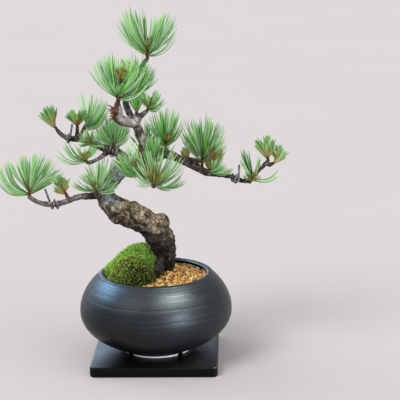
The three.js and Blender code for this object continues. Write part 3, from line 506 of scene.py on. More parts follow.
def bud_look():
    look = Look("bud_scales", Roughness=0.6, Specular_IOR_Level=0.3)
    fine = look.noise(1600, 3, 0.6)
    scales = [(0.25, (0.050, 0.022, 0.010)), (0.50, (0.240, 0.105, 0.028)), (0.80, (0.480, 0.270, 0.090))]
    look.set("Base Color", look.ramp(look.total(look.attribute("tone"), 0.7, fine, 0.3), *scales))
    look.bump(fine, 0.0002, 0.5)
    return look.material


def moss_look(name, root, leaf, tip):
    look = Look(name, Roughness=0.75, Specular_IOR_Level=0.2)
    colour = look.ramp(look.attribute("along"), (0.0, root), (0.5, leaf), (1.0, tip))
    patch = look.between(look.noise(130, 3, 0.6), 0.35, 0.65, 0.8, 1.15)
    light = look.times(patch, look.between(look.attribute("tone"), 0, 1, 0.15, 1.7))
    look.set("Base Color", look.shaded(colour, light))
    look.bump(look.noise(1800, 2, 0.5), 0.0003, 0.6)
    return look.material


def gravel_look():
    look = Look("gravel", Roughness=0.72, Specular_IOR_Level=0.35)
    stone = look.ramp(
        look.attribute("tone"), (0.0, (0.150, 0.058, 0.014)), (0.22, (0.420, 0.160, 0.030)),
        (0.45, (0.640, 0.350, 0.080)), (0.66, (0.800, 0.530, 0.190)), (0.85, (0.880, 0.700, 0.340)),
        (1.0, (0.900, 0.830, 0.580)),
    )
    vein = look.between(look.noise(850, 4, 0.65), 0.3, 0.7, 0.7, 1.2)
    look.set("Base Color", look.shaded(stone, vein))
    look.bump(look.noise(1900, 3, 0.6), 0.0002, 0.6)
    return look.material


def soil_look():
    look = Look("soil", Roughness=0.95)
    crumb = look.cells(420)
    look.set("Base Color", look.ramp(crumb, (0.1, (0.030, 0.019, 0.012)), (0.7, (0.090, 0.058, 0.036))))
    look.bump(crumb, 0.0008, 0.9)
    return look.material


WIRE_COLOURS = {
    "dull": [(0.070, 0.065, 0.075), (0.400, 0.400, 0.440)],
    "bright": [(0.130, 0.130, 0.150), (0.640, 0.660, 0.720)],
}


def wire_look(name, dark, light):
    look = Look(name, Metallic=0.85)
    worn = look.noise(420, 4, 0.65)
    look.set("Base Color", look.ramp(worn, (0.35, dark), (0.72, light)))
    look.set("Roughness", look.between(worn, 0.3, 0.7, 0.5, 0.32))
    look.bump(look.noise(1500, 2, 0.5), 0.00008, 0.5)
    return look.material


def plastic_look():
    look = Look("drain_mesh", Specular_IOR_Level=0.3)
    grain = look.noise(1300, 2, 0.5)
    black = look.ramp(grain, (0.3, (0.010, 0.010, 0.010)), (0.8, (0.022, 0.022, 0.022)))
    look.set("Base Color", black)
    look.set("Roughness", look.between(grain, 0.3, 0.7, 0.55, 0.75))
    look.bump(grain, 0.00005, 0.3)
    return look.material


def floor_look():
    look = Look("floor", Roughness=0.9, Specular_IOR_Level=0.15)
    paper = look.ramp(look.noise(2, 2, 0.5), (0.0, (0.62, 0.582, 0.58)), (1.0, (0.64, 0.600, 0.598)))
    look.set("Base Color", paper)
    return look.material


# ---- Mesh tools ----
def unit(v):
    return v / np.linalg.norm(v, axis=-1, keepdims=True)


def smooth(value, low, high):
    t = np.clip((value - low) / (high - low), 0, 1)
    return t * t * (3 - 2 * t)


def angles(count):
    """Evenly spaced angles round a full turn."""
    return np.linspace(0, TURN, count, endpoint=False)


def spokes(across, over, turns):
    """Ways out of a path at these angles, from two ways across it."""
    return across[..., None, :] * np.cos(turns)[:, None] + over[..., None, :] * np.sin(turns)[:, None]


def revolved(radii, heights, turns):
    """Points of a profile turned round the Z axis: a row for each point of the profile."""
    x, y = np.outer(radii, np.cos(turns)), np.outer(radii, np.sin(turns))
    return np.stack([x, y, np.outer(heights, np.ones(len(turns)))], -1)


def noise_at(places, often):
    """Noise at each place, with this many waves a metre."""
    return np.array([noise.noise(Vector(p) * often) for p in places])


def clear_of_wood(places, wood, margin):
    """Which places lie at least this many millimetres from the wood."""
    tree, radii = wood
    found = [tree.find(p) for p in places]
    return np.array([far > radii[i] + margin * MM for _, i, far in found])


class Soup:
    """Closed bodies gathered into one mesh, with one number a vertex for each of its attributes."""

    def __init__(self, *attributes):
        self.vertices, self.faces, self.slots = [], [], []
        self.values = {name: [] for name in attributes}
        self.count = 0

    def add(self, vertices, faces, slot=0, **values):
        for group in faces:
            self.faces.extend((group + self.count).tolist())
            self.slots.extend([slot] * len(group))
        for name, listed in self.values.items():
            listed.append(np.broadcast_to(np.asarray(values.get(name, 0.0), float), (len(vertices),)))
        self.vertices.append(vertices)
        self.count += len(vertices)

    def piece(self, name, materials, smooth_faces=True):
        mesh = bpy.data.meshes.new(name)
        mesh.from_pydata(np.concatenate(self.vertices).tolist(), [], self.faces)
        give(mesh, {attribute: np.concatenate(listed) for attribute, listed in self.values.items()})
        for made in materials:
            mesh.materials.append(made)
        mesh.polygons.foreach_set("material_index", self.slots)
        mesh.polygons.foreach_set("use_smooth", [smooth_faces] * len(self.faces))
        return shown(name, mesh)


def give(mesh, fields):
    """Attributes of the mesh, one number a vertex, that its material reads."""
    for name, values in fields.items():
        mesh.attributes.new(name, "FLOAT", "POINT").data.foreach_set("value", values)


def shown(name, mesh):
    """The mesh as an object of the scene."""
    mesh.update()
    thing = bpy.data.objects.new(name, mesh)
    bpy.context.scene.collection.objects.link(thing)
    return thing


def keep(piece, slot, *nodes):
    """The piece moves with the part and stands for the nodes; the slot is not used."""
    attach(piece, "root")
    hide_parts(*nodes)


def prism_faces(count, rings, sides):
    """Faces of closed prisms whose corners follow each other ring by ring."""
    ring = np.arange(sides)
    step = np.roll(ring, -1)
    start = np.arange(count)[:, None, None] * rings * sides
    wall = np.stack([ring, step, step + sides, ring + sides], -1)
    walls = np.array([[i * sides + wall] for i in range(rings - 1)])
    walls = (walls.reshape(1, -1, 4) + start).reshape(-1, 4)
    near = (ring[::-1][None] + start[:, 0]).reshape(-1, sides)
    far = (ring[None] + (rings - 1) * sides + start[:, 0]).reshape(-1, sides)
    return [walls, near, far]


def prisms(paths, radii, sides, reference, turn=0.0):
    """Closed prisms along many paths at once. reference is a way that none of the paths points."""
    along = unit(np.gradient(paths, axis=1))
    across = unit(reference - np.sum(along * reference, -1, keepdims=True) * along)
    spoke = spokes(across, np.cross(along, across), angles(sides) + turn)
    corners = paths[..., None, :] + radii[..., None, None] * spoke
    return corners.reshape(-1, 3), prism_faces(len(paths), paths.shape[1], sides)


class Limb:
    """A tapered round path through stations of [x, y, z, radius] in millimetres."""

    SPAN = 24  # points between two stations

    def __init__(self, stations):
        listed = np.array(stations, float) * MM
        p = np.vstack([2 * listed[0] - listed[1], listed, 2 * listed[-1] - listed[-2]])
        points, radii = [listed[0, :3]], [listed[0, 3]]
        for a, b, c, d in zip(p, p[1:], p[2:], p[3:]):
            for t in np.arange(1, self.SPAN + 1) / self.SPAN:
                points.append(self.between(a[:3], b[:3], c[:3], d[:3], t))
                radii.append(b[3] + (c[3] - b[3]) * t)
        self.points, self.radii = np.array(points), np.array(radii)
        steps = np.linalg.norm(np.diff(self.points, axis=0), axis=1)
        self.lengths = np.concatenate([[0], np.cumsum(steps)])

    @staticmethod
    def between(a, b, c, d, t):
        """A point of the centripetal Catmull-Rom curve between b and c."""
        ab, bc, cd = (math.sqrt(np.linalg.norm(q - p)) for p, q in ((a, b), (b, c), (c, d)))
        leave = ((b - a) / ab - (c - a) / (ab + bc) + (c - b) / bc) * bc
        arrive = ((c - b) / bc - (d - b) / (bc + cd) + (d - c) / cd) * bc
        u = 1 - t
        return b * (1 + 2 * t) * u * u + leave * t * u * u + c * t * t * (3 - 2 * t) - arrive * t * t * u

    def at(self, share):
        """Place, way and radius at a share of the length."""
        where = np.asarray(share) * self.lengths[-1]
        columns = [*self.points.T, *np.gradient(self.points, axis=0).T, self.radii]
        *found, radius = (np.interp(where, self.lengths, column) for column in columns)
        return np.stack(found[:3], -1), unit(np.stack(found[3:], -1)), radius

    def tube(self, step, sides):
        """A closed tube of the path with a ring every step metres."""
        count = max(3, int(self.lengths[-1] / step))
        place, way, radius = self.at(np.linspace(0, 1, count + 1))
        across = [unit(np.cross(way[0], [0.3, 0.9, 0.1]))]
        for w in way[1:]:
            across.append(unit(across[-1] - np.dot(across[-1], w) * w))
        across = np.array(across)
        spoke = spokes(across, np.cross(way, across), angles(sides))
        corners = place[:, None] + radius[:, None, None] * spoke
        return corners.reshape(-1, 3), prism_faces(1, count + 1, sides)


# ---- Saucer and pot ----
def make_saucer(look):
    """A square tile: rings of one rounded outline, drawn in at the edges and towards the middle."""
    side, height, corner, edge = (SAUCER[k] * MM for k in ("side", "height", "corner", "edge"))
    per_corner = SAUCER["per_corner"]
    rise = np.linspace(0, math.pi / 2, SAUCER["per_edge"])
    profile = [(edge * (1 - math.sin(a)), edge * (1 - math.cos(a))) for a in rise]
    profile += [(edge * (1 - math.cos(a)), height - edge * (1 - math.sin(a))) for a in rise]
    profile += [(inset * MM, height) for inset in SAUCER["insets"]]
    corners = []
    for inset, z in profile:
        bend = max(corner - inset, SAUCER["sharpest"] * MM)
        straight = side / 2 - inset - bend
        for quarter, (sx, sy) in enumerate([(1, 1), (-1, 1), (-1, -1), (1, -1)]):
            for angle in np.linspace(0, math.pi / 2, per_corner) + quarter * math.pi / 2:
                x = sx * straight + bend * math.cos(angle)
                y = sy * straight + bend * math.sin(angle)
                corners.append((x, y, z))
    soup = Soup()
    soup.add(np.array(corners), prism_faces(1, len(profile), 4 * per_corner))
    piece = soup.piece("saucer_glazed", [look])
    flat = [abs(p.normal.z) > 0.99 for p in piece.data.polygons]
    piece.data.polygons.foreach_set("use_smooth", [not f for f in flat])
    keep(piece, "saucer_glaze", "saucer")


def wall_radius(side, z):
    """Radius of the wall's outside or inside at a height."""
    widest, below, above = POT[side]
    half = np.where(z < POT["equator_z"], below, above)
    return widest * np.sqrt(1 - ((z - POT["equator_z"]) / half) ** 2)


def pot_profile(rng):
    """Radius and height round the pot's section, from the drain hole over the foot and the lip."""
    saucer_top, under, top = SAUCER["height"], POT["floor_under"], POT["rim_z"] - POT["lip"]
    foot_in, foot_out, drain = POT["foot_inner"], POT["foot_outer"], POT["drain"]
    foot = [
        (drain, under), (foot_in - 1, under), (foot_in, under - 0.6), (foot_in + 0.2, saucer_top + 0.5),
        (foot_in + 0.8, saucer_top), (foot_out - 0.8, saucer_top), (foot_out - 0.2, saucer_top + 0.3),
        (foot_out, saucer_top + 0.9), (foot_out, under - 1.3), (foot_out, under - 0.7),
    ]
    eased = 0.5 - 0.5 * np.cos(np.linspace(0, math.pi, POT["wall_points"]))
    outside = under + 0.2 + (top - under - 0.2) * eased
    inside = (POT["floor_top"] + (top - POT["floor_top"]) * eased[::3])[::-1]
    rings = sum(
        size * np.sin(outside / wave * TURN + rng.uniform(0, TURN)) * rng.uniform(0.5, 1)
        for size, wave in WHEEL_RINGS
    )
    radius = wall_radius("outside", outside) - 0.1 + rings * smooth(outside, under, under + 12)
    lip_out, lip_in = (float(wall_radius(side, top)) for side in ("outside", "inside"))
    middle, half = (lip_out + lip_in) / 2, (lip_out - lip_in) / 2
    over = np.linspace(0.25, math.pi - 0.25, 9)
    lip = [(middle + half * math.cos(a), top + POT["lip"] * math.sin(a)) for a in over]
    wall, inner = np.stack([radius, outside], -1), np.stack([wall_radius("inside", inside), inside], -1)
    return np.vstack([foot, wall, lip, inner, [(drain, POT["floor_top"])]]) * MM


def make_pot(look):
    """The thrown pot: its wall carries the potter's rings, and notches are cut out of the foot ring."""
    profile, turns = pot_profile(np.random.default_rng(SEEDS["pot"])), angles(POT["segments"])
    grid = revolved(profile[:, 0], profile[:, 1], turns)
    i, j = np.meshgrid(np.arange(len(profile)), np.arange(len(turns)), indexing="ij")
    k, m = (i + 1) % len(profile), (j + 1) % len(turns)
    faces = np.stack([i * len(turns) + j, i * len(turns) + m, k * len(turns) + m, k * len(turns) + j], -1)
    share = (turns / TURN * NOTCH["count"]) % 1 - 0.5
    off_middle = share * TURN / NOTCH["count"] * (POT["foot_inner"] + POT["foot_outer"]) / 2
    arch = NOTCH["height"] * np.sqrt(np.clip(1 - (2 * off_middle / NOTCH["width"]) ** 2, 0, 1))
    height = grid[:, :, 2]
    low = height < (POT["floor_under"] - 0.8) * MM
    height[:] = np.where(low, np.maximum(height, (SAUCER["height"] + arch[None, :]) * MM), height)
    foot = np.hypot(grid[..., 0], grid[..., 1]) < (POT["foot_outer"] + 0.3) * MM
    bare = foot & (height < (SAUCER["height"] + 1.1) * MM)
    soup = Soup("bare")
    soup.add(grid.reshape(-1, 3), [faces.reshape(-1, 4)], bare=bare.ravel().astype(float))
    keep(soup.piece("pot_glazed", [look]), "pot_glaze", "pot")


# ---- Wood ----
WOOD = dict(step=1.2, sides=20, voxel=0.55, softened=3, knuckle=[12, 20], creased_over=6)
TWIG = dict(radii=[1.9, 1.8, 1.6, 1.5], shortest=2, longest=6, share=0.45, tried=61)
# Bark: radius of the wood where it is thin, how much more makes it full, how many forms of each kind there
# are in a metre, and depths in millimetres.
BARK = dict(
    thin=3.2, growth=3.5, plates=430, larger=90, upright=0.62, gap=0.30, warp=190, fine_warp=480, lumps=80,
    wrinkles=310, grain=1000, knots=210, knot_depth=0.42, grain_depth=0.1,
)
# Where the wood has a look of its own: ragged spheres of centre, radius in millimetres, and strength.
WOOD_TINTS = {
    "pale": [
        [[-23.5, -5, 215.5], 6, 1], [[-24, -4, 209], 6, 1], [[-19, 0, 205], 8, 1], [[-12, 4, 206], 7, 0.9],
        [[-6, 2, 212], 6, 0.5], [[-24, -2, 169], 8, 0.9], [[-6, 3, 189], 7, 0.6],
        [[-62, -16, 145], 9, 0.25], [[-78, -20, 141], 12, 0.3], [[-95, -22, 143], 11, 0.3],
        [[-46, -8, 175], 8, 0.5],
    ],
    "red": [
        [[-34, -2, 207], 7.5, 1], [[-34, -4, 213], 7.5, 1], [[-32, -5, 220], 7, 1], [[-27, -4, 225], 5, 0.8],
    ],
    "blue": [
        [[-19, 2, 168], 11, 1], [[-27, -2, 162], 10, 1], [[-38, -10, 142], 9, 0.6], [[-31, -13, 138], 7, 0.5],
        [[-22, 8, 218], 6, 0.4],
    ],
}
WET_LINE = [104, 112]  # heights between which the dark, wet foot of the trunk gives way to dry bark
# Deep creases of the old wood: points in millimetres, then width and depth. Along them the crack colour is
# painted shade.
CREASES = [
    [[[-9, -6, 110.5], [-3, -10, 108.5], [4, -11, 108.5], [10, -8.5, 110.5], [15, -4, 114]], 3.2, 2.8],
    [[[-20, -12, 134], [-17.5, -13, 126], [-13.5, -12, 119], [-12, -9, 114]], 2.2, 1.1],
    [[[-35, -13, 127], [-27, -17, 131], [-21, -15, 134]], 2.0, 1.2],
    [[[-7.5, -10, 119], [-3, -12, 114.5], [1, -12, 112]], 2.0, 1.5],
]


def nearest_share(limb, place):
    """The share of a limb's length that is nearest to a place."""
    shares = np.linspace(0, 1, TWIG["tried"])
    points = limb.at(shares)[0]
    return shares[np.argmin(np.linalg.norm(points - place, axis=1))]


def twig_of(spray, limbs):
    """A twig leaves its limb and turns until it points the way of its shoot."""
    base, limb = spray["base"] * MM, limbs[spray["limb"]]
    root = limb.at(spray["root_at"] or nearest_share(limb, base))[0]
    long = max(TWIG["shortest"] * MM, TWIG["share"] * np.linalg.norm(base - root))
    elbow = base - spray["axis"] * min(TWIG["longest"] * MM, long)
    path = [root, root + 0.6 * (elbow - root), elbow, base]
    return Limb([[*(p / MM), radius] for p, radius in zip(path, TWIG["radii"])])


def lump(centre, half):
    """A swelling of the old wood."""
    rings, sides = WOOD["knuckle"]
    lean = np.linspace(0.08, math.pi - 0.08, rings)[::-1]
    ball = revolved(np.sin(lean), np.cos(lean), angles(sides)).reshape(-1, 3)
    return ball * np.array(half) * MM + np.array(centre) * MM, prism_faces(1, rings, sides)


def crease_at(place):
    """How far the creases are cut in at a point, in millimetres."""
    cut = 0.0
    for line, width, depth in CREASES:
        path = np.array(line, float) * MM
        a, b = path[:-1], path[1:]
        share = np.clip(np.sum((place - a) * (b - a), axis=1) / np.sum((b - a) ** 2, axis=1), 0, 1)
        far = np.min(np.linalg.norm(place - a - (b - a) * share[:, None], axis=1)) / (width * MM)
        cut = max(cut, depth * math.exp(-far * far * 1.5))
    return cut


def tints_at(places):
    """How much of each kind of wood there is at each point."""
    ragged = 1 + 0.5 * noise_at(places, 260)
    fields = {}
    for name, blobs in WOOD_TINTS.items():
        fields[name] = np.zeros(len(places))
        for centre, reach, strength in blobs:
            far = np.linalg.norm(places / MM - centre, axis=1) * ragged
            fields[name] = np.maximum(fields[name], strength * (1 - smooth(far, 0.5 * reach, reach)))
    return fields


def bark_at(place, radius):
    """Displacement, crack, plate tone and thickness of the bark at a point, for wood of this radius."""
    thick = min(1.0, max(0.0, (radius - BARK["thin"] * MM) / (BARK["growth"] * MM)))
    warp = noise.noise_vector(place * BARK["warp"]) * 0.8
    warp += noise.noise_vector(place * BARK["fine_warp"]) * 0.35
    flake = Vector((place.x, place.y, BARK["upright"] * place.z)) * (BARK["plates"] - BARK["larger"] * thick)
    gaps, ids = noise.voronoi(flake + warp)
    edge = min(1.0, (gaps[1] - gaps[0]) / BARK["gap"])
    tone = noise.cell(ids[0] * 7.3)
    wrinkle = abs(noise.noise(place * BARK["wrinkles"] + warp)) * 2
    depth = (0.14 + 0.36 * thick) * MM
    shift = depth * (0.7 * edge + 0.6 * wrinkle - 0.9 + 0.4 * tone)
    lumps = noise.fractal(place * BARK["lumps"], 0.9, 2.1, 3)
    grain = noise.fractal(place * BARK["grain"], 0.8, 2.0, 2)
    knots = noise.fractal(place * BARK["knots"], 0.9, 2.1, 2) * (1 - thick)
    forms = (0.1 + 1.0 * thick) * MM * lumps + BARK["knot_depth"] * MM * knots
    crack = max(1 - 1.3 * edge, 0.8 - 4.5 * wrinkle)
    shift += forms + BARK["grain_depth"] * MM * grain
    return shift, min(1.0, max(0.0, crack)), 0.5 + 0.5 * tone, thick


def melted(soup):
    """The bodies of the soup as one skin."""
    rough = soup.piece("wood_rough", [])
    remesh = rough.modifiers.new("skin", "REMESH")
    remesh.mode = "VOXEL"
    remesh.voxel_size = WOOD["voxel"] * MM
    rough.modifiers.new("soften", "SMOOTH").iterations = WOOD["softened"]
    skin = bpy.data.meshes.new_from_object(rough.evaluated_get(bpy.context.evaluated_depsgraph_get()))
    bpy.data.objects.remove(rough)
    return skin


def make_wood(look, limbs, twigs):
    """Trunk, roots, limbs and twigs melt into one skin, which then gets its plates and cracks.

    The points along them, as a tree to search, and their radii tell what is clear of the wood.
    """
    tubes = [Limb(TRUNK), *map(Limb, ROOTS), Limb(SCAR), *limbs.values(), *twigs]
    soup = Soup()
    for tube in tubes:
        soup.add(*tube.tube(WOOD["step"] * MM, WOOD["sides"]))
    for knuckle in KNUCKLES:
        soup.add(*lump(*knuckle))
    skin = melted(soup)

    samples = np.concatenate([t.points for t in tubes])
    radii = np.concatenate([t.radii for t in tubes])
    tree = kdtree.KDTree(len(samples))
    for i, p in enumerate(samples):
        tree.insert(p, i)
    tree.balance()
    places = np.array([v.co for v in skin.vertices])
    fields = {name: np.zeros(len(places)) for name in ("crack", "plate", "thick", "under")}
    tints = tints_at(places)
    fields["wet"] = 1 - smooth(places[:, 2] / MM + 3 * noise_at(places, 150), *WET_LINE)
    relief = 1 - 0.7 * np.maximum(tints["blue"], tints["pale"]) + 0.8 * fields["wet"]
    for i, vertex in enumerate(skin.vertices):
        radius = radii[tree.find(vertex.co)[1]]
        shift, crack, fields["plate"][i], fields["thick"][i] = bark_at(vertex.co, radius)
        cut = crease_at(np.array(vertex.co)) if radius > WOOD["creased_over"] * MM else 0.0
        # The crack colour: fissures between the plates, partly their own dark colour and partly painted
        # shade, and painted shade along the creases.
        fields["crack"][i] = max(crack * min(1.0, relief[i]), min(1.0, cut))
        # How far the skin faces down, for the painted shade underneath.
        fields["under"][i] = -vertex.normal.z
        places[i] = vertex.co + vertex.normal * (shift * relief[i] - cut * MM)
    # The painted shade underneath is weaker on thin wood.
    fields["under"] = smooth(fields["under"], -0.25, 0.6) * (0.4 + 0.6 * fields["thick"])
    skin.vertices.foreach_set("co", places.ravel())
    give(skin, fields | tints)
    skin.polygons.foreach_set("use_smooth", [True] * len(skin.polygons))
    skin.materials.append(look)
    keep(shown("wood", skin), "bark", "trunk")
    return tree, radii


def make_wires(limbs):
    """Turns of training wire round the limbs, some with a straight end."""
    looks = {name: wire_look("wire_" + name, *colours) for name, colours in WIRE_COLOURS.items()}
    for name, look, limb_name, start, end, turns, first, tail in WIRES:
        limb = limbs[limb_name]
        count = round(turns * WIRE["per_turn"])
        points = []
        for i in range(count + 1):
            place, way, radius = limb.at(start + (end - start) * i / count)
            level = unit(np.cross(way, UP))
            above = np.cross(level, way)
            angle = first + TURN * i / WIRE["per_turn"]
            reach = radius + (WIRE["radius"] + WIRE["gap"]) * MM
            points.append(place + reach * (level * math.cos(angle) + above * math.sin(angle)))
        if tail:
            points += [points[-1] + np.array(tail) * MM * share for share in (0.4, 1)]
        soup = Soup()
        soup.add(*Limb([[*(p / MM), WIRE["radius"]] for p in points]).tube(WIRE["step"] * MM, WIRE["sides"]))
        keep(soup.piece(name + "_coil", [looks[look]]), "wire", name)


# ---- Needles, candles and buds ----
GREEN, YOUNG, SCALES = 0, 1, 2  # the looks of a shoot, in the order of its slots
CORE = dict(share=0.24, shortest=4, below=1.5)
NEEDLE = dict(
    radius=0.47, young_radius=0.72, rings=8, sides=3, bundle=5, part=6.5, twist=0.5, slack=1.02, pull=1.5,
    taper=[[0, 0.08, 0.75, 0.93, 1], [0.75, 1, 0.95, 0.6, 0.12]], free_from=3, wood_gap=0.3,
    width=[0.88, 1.12], pale=[0.55, 1.0], green=[0, 0.08],
)
# How much the bundles of a sheaf differ in angle, lean, spread, reach, place and light, and then how much the
# needles of a bundle differ in reach and tone.
SCATTER = dict(
    angle=2, lean=5, part=[0.5, 1.5], reach=[0.9, 1.02], place=0.09, light=0.2,
    own_reach=[0.94, 1.03], tone=0.5,
)
INWARD = [0.8, 0.7]  # outer sheaves start lower: the highest place, and the power it falls off by
DARKER = 0.4  # painted shade: how much darker the outermost sheaves are, the low outer needles in shade
CURL = [0.25, 0.7]  # how much steeper a needle starts than it ends, as a share of its angle
STRAIGHT = [-0.05, 0.15]  # the same for candles and for stiff sheaves
HOOKED = [0.75, 1.15]  # the same for outer sheaves that leave almost level and turn up
STEEPEST = math.radians(100)  # no needle starts further from upright than this
FAR_SHEAVES = 9  # how many sheaves a fan on the far side has
SPINDLE = dict(
    radius=1.3, rings=18, sides=12, starts=3, winds=5.5, scale=[0.84, 0.28], shortest=3.5, of_heart=0.75,
    taper=[[0, 0.15, 0.45, 0.8, 1], [0.8, 1, 0.92, 0.5, 0.1]],
)
HEART = dict(fewest=26, per_mm=3, spread=46, bend=[1.3, 0.7], reach=[0.6, 1.15], slimmer=0.6, ripe=0.62)
# Dry curls of bark on the riser: the box they start in, the way they leave it, and their make.
CURLS = dict(
    low=[-32.5, -5.5, 206.5], high=[-30.8, 0, 218], way=[-0.9, -0.4, 0], scatter=[0.3, 0.5, 0.6], bend=1.3,
    count=34, sides=4, reach=[3, 7.5], radius=0.42,
)


def tilt_of(axis):
    """Angle from upright in the picture plane, in degrees."""
    return math.degrees(math.atan2(axis[0], axis[2]))


def shoot_of(name, limb, base, axis, fan, own=None):
    """All settings of a shoot: the common ones, and then its own."""
    axis = unit(np.array(axis, float))
    candle = name.startswith("candle")
    common = dict(
        name=name, limb=limb, base=np.array(base, float), axis=axis, fan=fan, candle=candle, root_at=None,
        lean=math.degrees(math.asin(-axis[1])), depth=26 if candle else 36, heart=None, light=0.6, pale=0.24,
        thickness=NEEDLE["young_radius" if candle else "radius"], part=NEEDLE["part"], ripe=1.0,
        hook=math.inf, straight=math.inf,
    )
    return common | (own or {})


def shoot_frame(axis):
    """Two ways across the axis of a shoot."""
    side = unit(np.cross(axis, [0, 1, 0.01]))
    return side, np.cross(axis, side)


def towards(axis, polar, azimuth):
    """Ways that lean from the axis by the polar angle."""
    return axis * np.cos(polar)[:, None] + spokes(*shoot_frame(axis), azimuth) * np.sin(polar)[:, None]


def needle_paths(roots, first, last, reach):
    """Curved needles: each leaves its root the first way and ends the last way."""
    t = np.linspace(0, 1, NEEDLE["rings"])
    blend = smooth(t, 0.0, 0.9)
    way = first[:, None] + (last - first)[:, None] * blend[:, None]
    middle = 0.5 * (way[:, 1:] + way[:, :-1])
    steps = middle * (reach / (len(t) - 1))[:, None, None]
    return roots[:, None] + np.concatenate([np.zeros_like(steps[:, :1]), np.cumsum(steps, axis=1)], axis=1)


def add_needles(soup, paths, axis, rng, thickness, slot, tone, ripe=1.0, pale=0.0):
    """Three-sided needles with the green face outward and the two pale ones towards the shoot."""
    sides = NEEDLE["sides"]
    t = np.linspace(0, 1, paths.shape[1])
    width = rng.uniform(*NEEDLE["width"], len(paths))
    radii = thickness * MM * np.interp(t, *NEEDLE["taper"]) * width[:, None]
    chord = unit(paths[:, -1] - paths[:, 0])
    outward = chord - axis * np.sum(chord * axis, axis=1)[:, None]
    outward += rng.normal(0, NEEDLE["twist"], chord.shape)
    outward -= chord * np.sum(outward * chord, axis=1)[:, None]
    corners, faces = prisms(paths, radii, sides, unit(outward)[:, None], turn=math.pi / 3)
    along = np.repeat(np.tile(ripe * t, len(paths)), sides)
    band = np.ones((len(paths), len(t), sides))
    band[..., ::2] = np.broadcast_to(pale, len(paths))[:, None, None]
    soup.add(corners, faces, slot, along=along, tone=np.repeat(tone, sides * len(t)), band=band.ravel())


def spindle(base, axis, length, rng):
    """A bud or a stem: a spindle wrapped in a spiral of scales, and how far along its scale each point is."""
    rings, sides = SPINDLE["rings"], SPINDLE["sides"]
    t = np.linspace(0.0, 1, rings)
    width = SPINDLE["radius"] * MM * np.interp(t, *SPINDLE["taper"])
    angle = angles(sides)
    spiral = (SPINDLE["starts"] * angle[None] / TURN + SPINDLE["winds"] * t[:, None] + rng.uniform()) % 1
    least, more = SPINDLE["scale"]
    swell = width[:, None] * (least + more * spiral)
    spoke = spokes(*shoot_frame(axis), angle)
    corners = base + axis * length * t[:, None, None] + spoke[None] * swell[..., None]
    return corners.reshape(-1, 3), prism_faces(1, rings, sides), spiral.ravel()


def lie(angle, lean):
    """A way in space from an angle in the picture plane and a lean towards the viewer."""
    angle = np.clip(angle, -STEEPEST, STEEPEST)
    return np.stack([np.sin(angle) * np.cos(lean), -np.sin(lean), np.cos(angle) * np.cos(lean)], -1)


def sheaves_of(spray):
    """The fan as a list of sheaves; a fan on the far side is spread evenly over its width."""
    fan = spray["fan"]
    if isinstance(fan, list):
        return fan
    middle, needles = tilt_of(spray["axis"]), fan["needles"] / FAR_SHEAVES
    shares = np.linspace(-1, 1, FAR_SHEAVES)
    return [[middle + fan["spread"] * t, fan["reach"] * (1 - 0.15 * t * t), needles] for t in shares]


def bend_of(spray, angle):
    """How much the needles of a sheaf at this angle curl."""
    if spray["candle"] or angle > spray["straight"]:
        return STRAIGHT
    return HOOKED if abs(angle) > spray["hook"] else CURL


def needles_of(spray, sheaves, core, rng):
    """Angle and lean in degrees, reach, place along the core, tone and curl of each needle of a shoot.

    Each sheaf is made of bundles of up to five needles that share a sheath.
    """
    widest = max(abs(sheaf[0]) for sheaf in sheaves)
    highest, power = INWARD
    bundles = []
    for middle, longest, count, *own_lean in sheaves:
        share = abs(middle) / max(widest, 1)
        left = round(count)
        while left > 0:
            size = min(NEEDLE["bundle"], left)
            left -= size
            turn = np.arange(size) / size * TURN + rng.uniform(0, TURN)
            part = spray["part"] * rng.uniform(*SCATTER["part"])
            angle = middle + rng.normal(0, SCATTER["angle"]) + part * np.cos(turn)
            if own_lean:
                lean = own_lean[0] + rng.normal(0, SCATTER["lean"])
            else:
                lean = spray["lean"] + spray["depth"] * rng.uniform(-1, 1)
            lean = lean + part * np.sin(turn)
            reach = longest * rng.uniform(*SCATTER["reach"]) * rng.uniform(*SCATTER["own_reach"], size)
            place = highest - highest * share**power + rng.normal(0, SCATTER["place"])
            # The outermost sheaves get painted shade.
            light = spray["light"] - DARKER * share**2 + rng.normal(0, SCATTER["light"])
            tone = light + rng.normal(0, SCATTER["tone"], size)
            curl = rng.uniform(*bend_of(spray, middle))
            along = core * np.clip(place, 0.03, 0.95)
            bundles.append(np.stack(np.broadcast_arrays(angle, lean, reach, along, tone, curl)))
    return np.concatenate(bundles, axis=1)


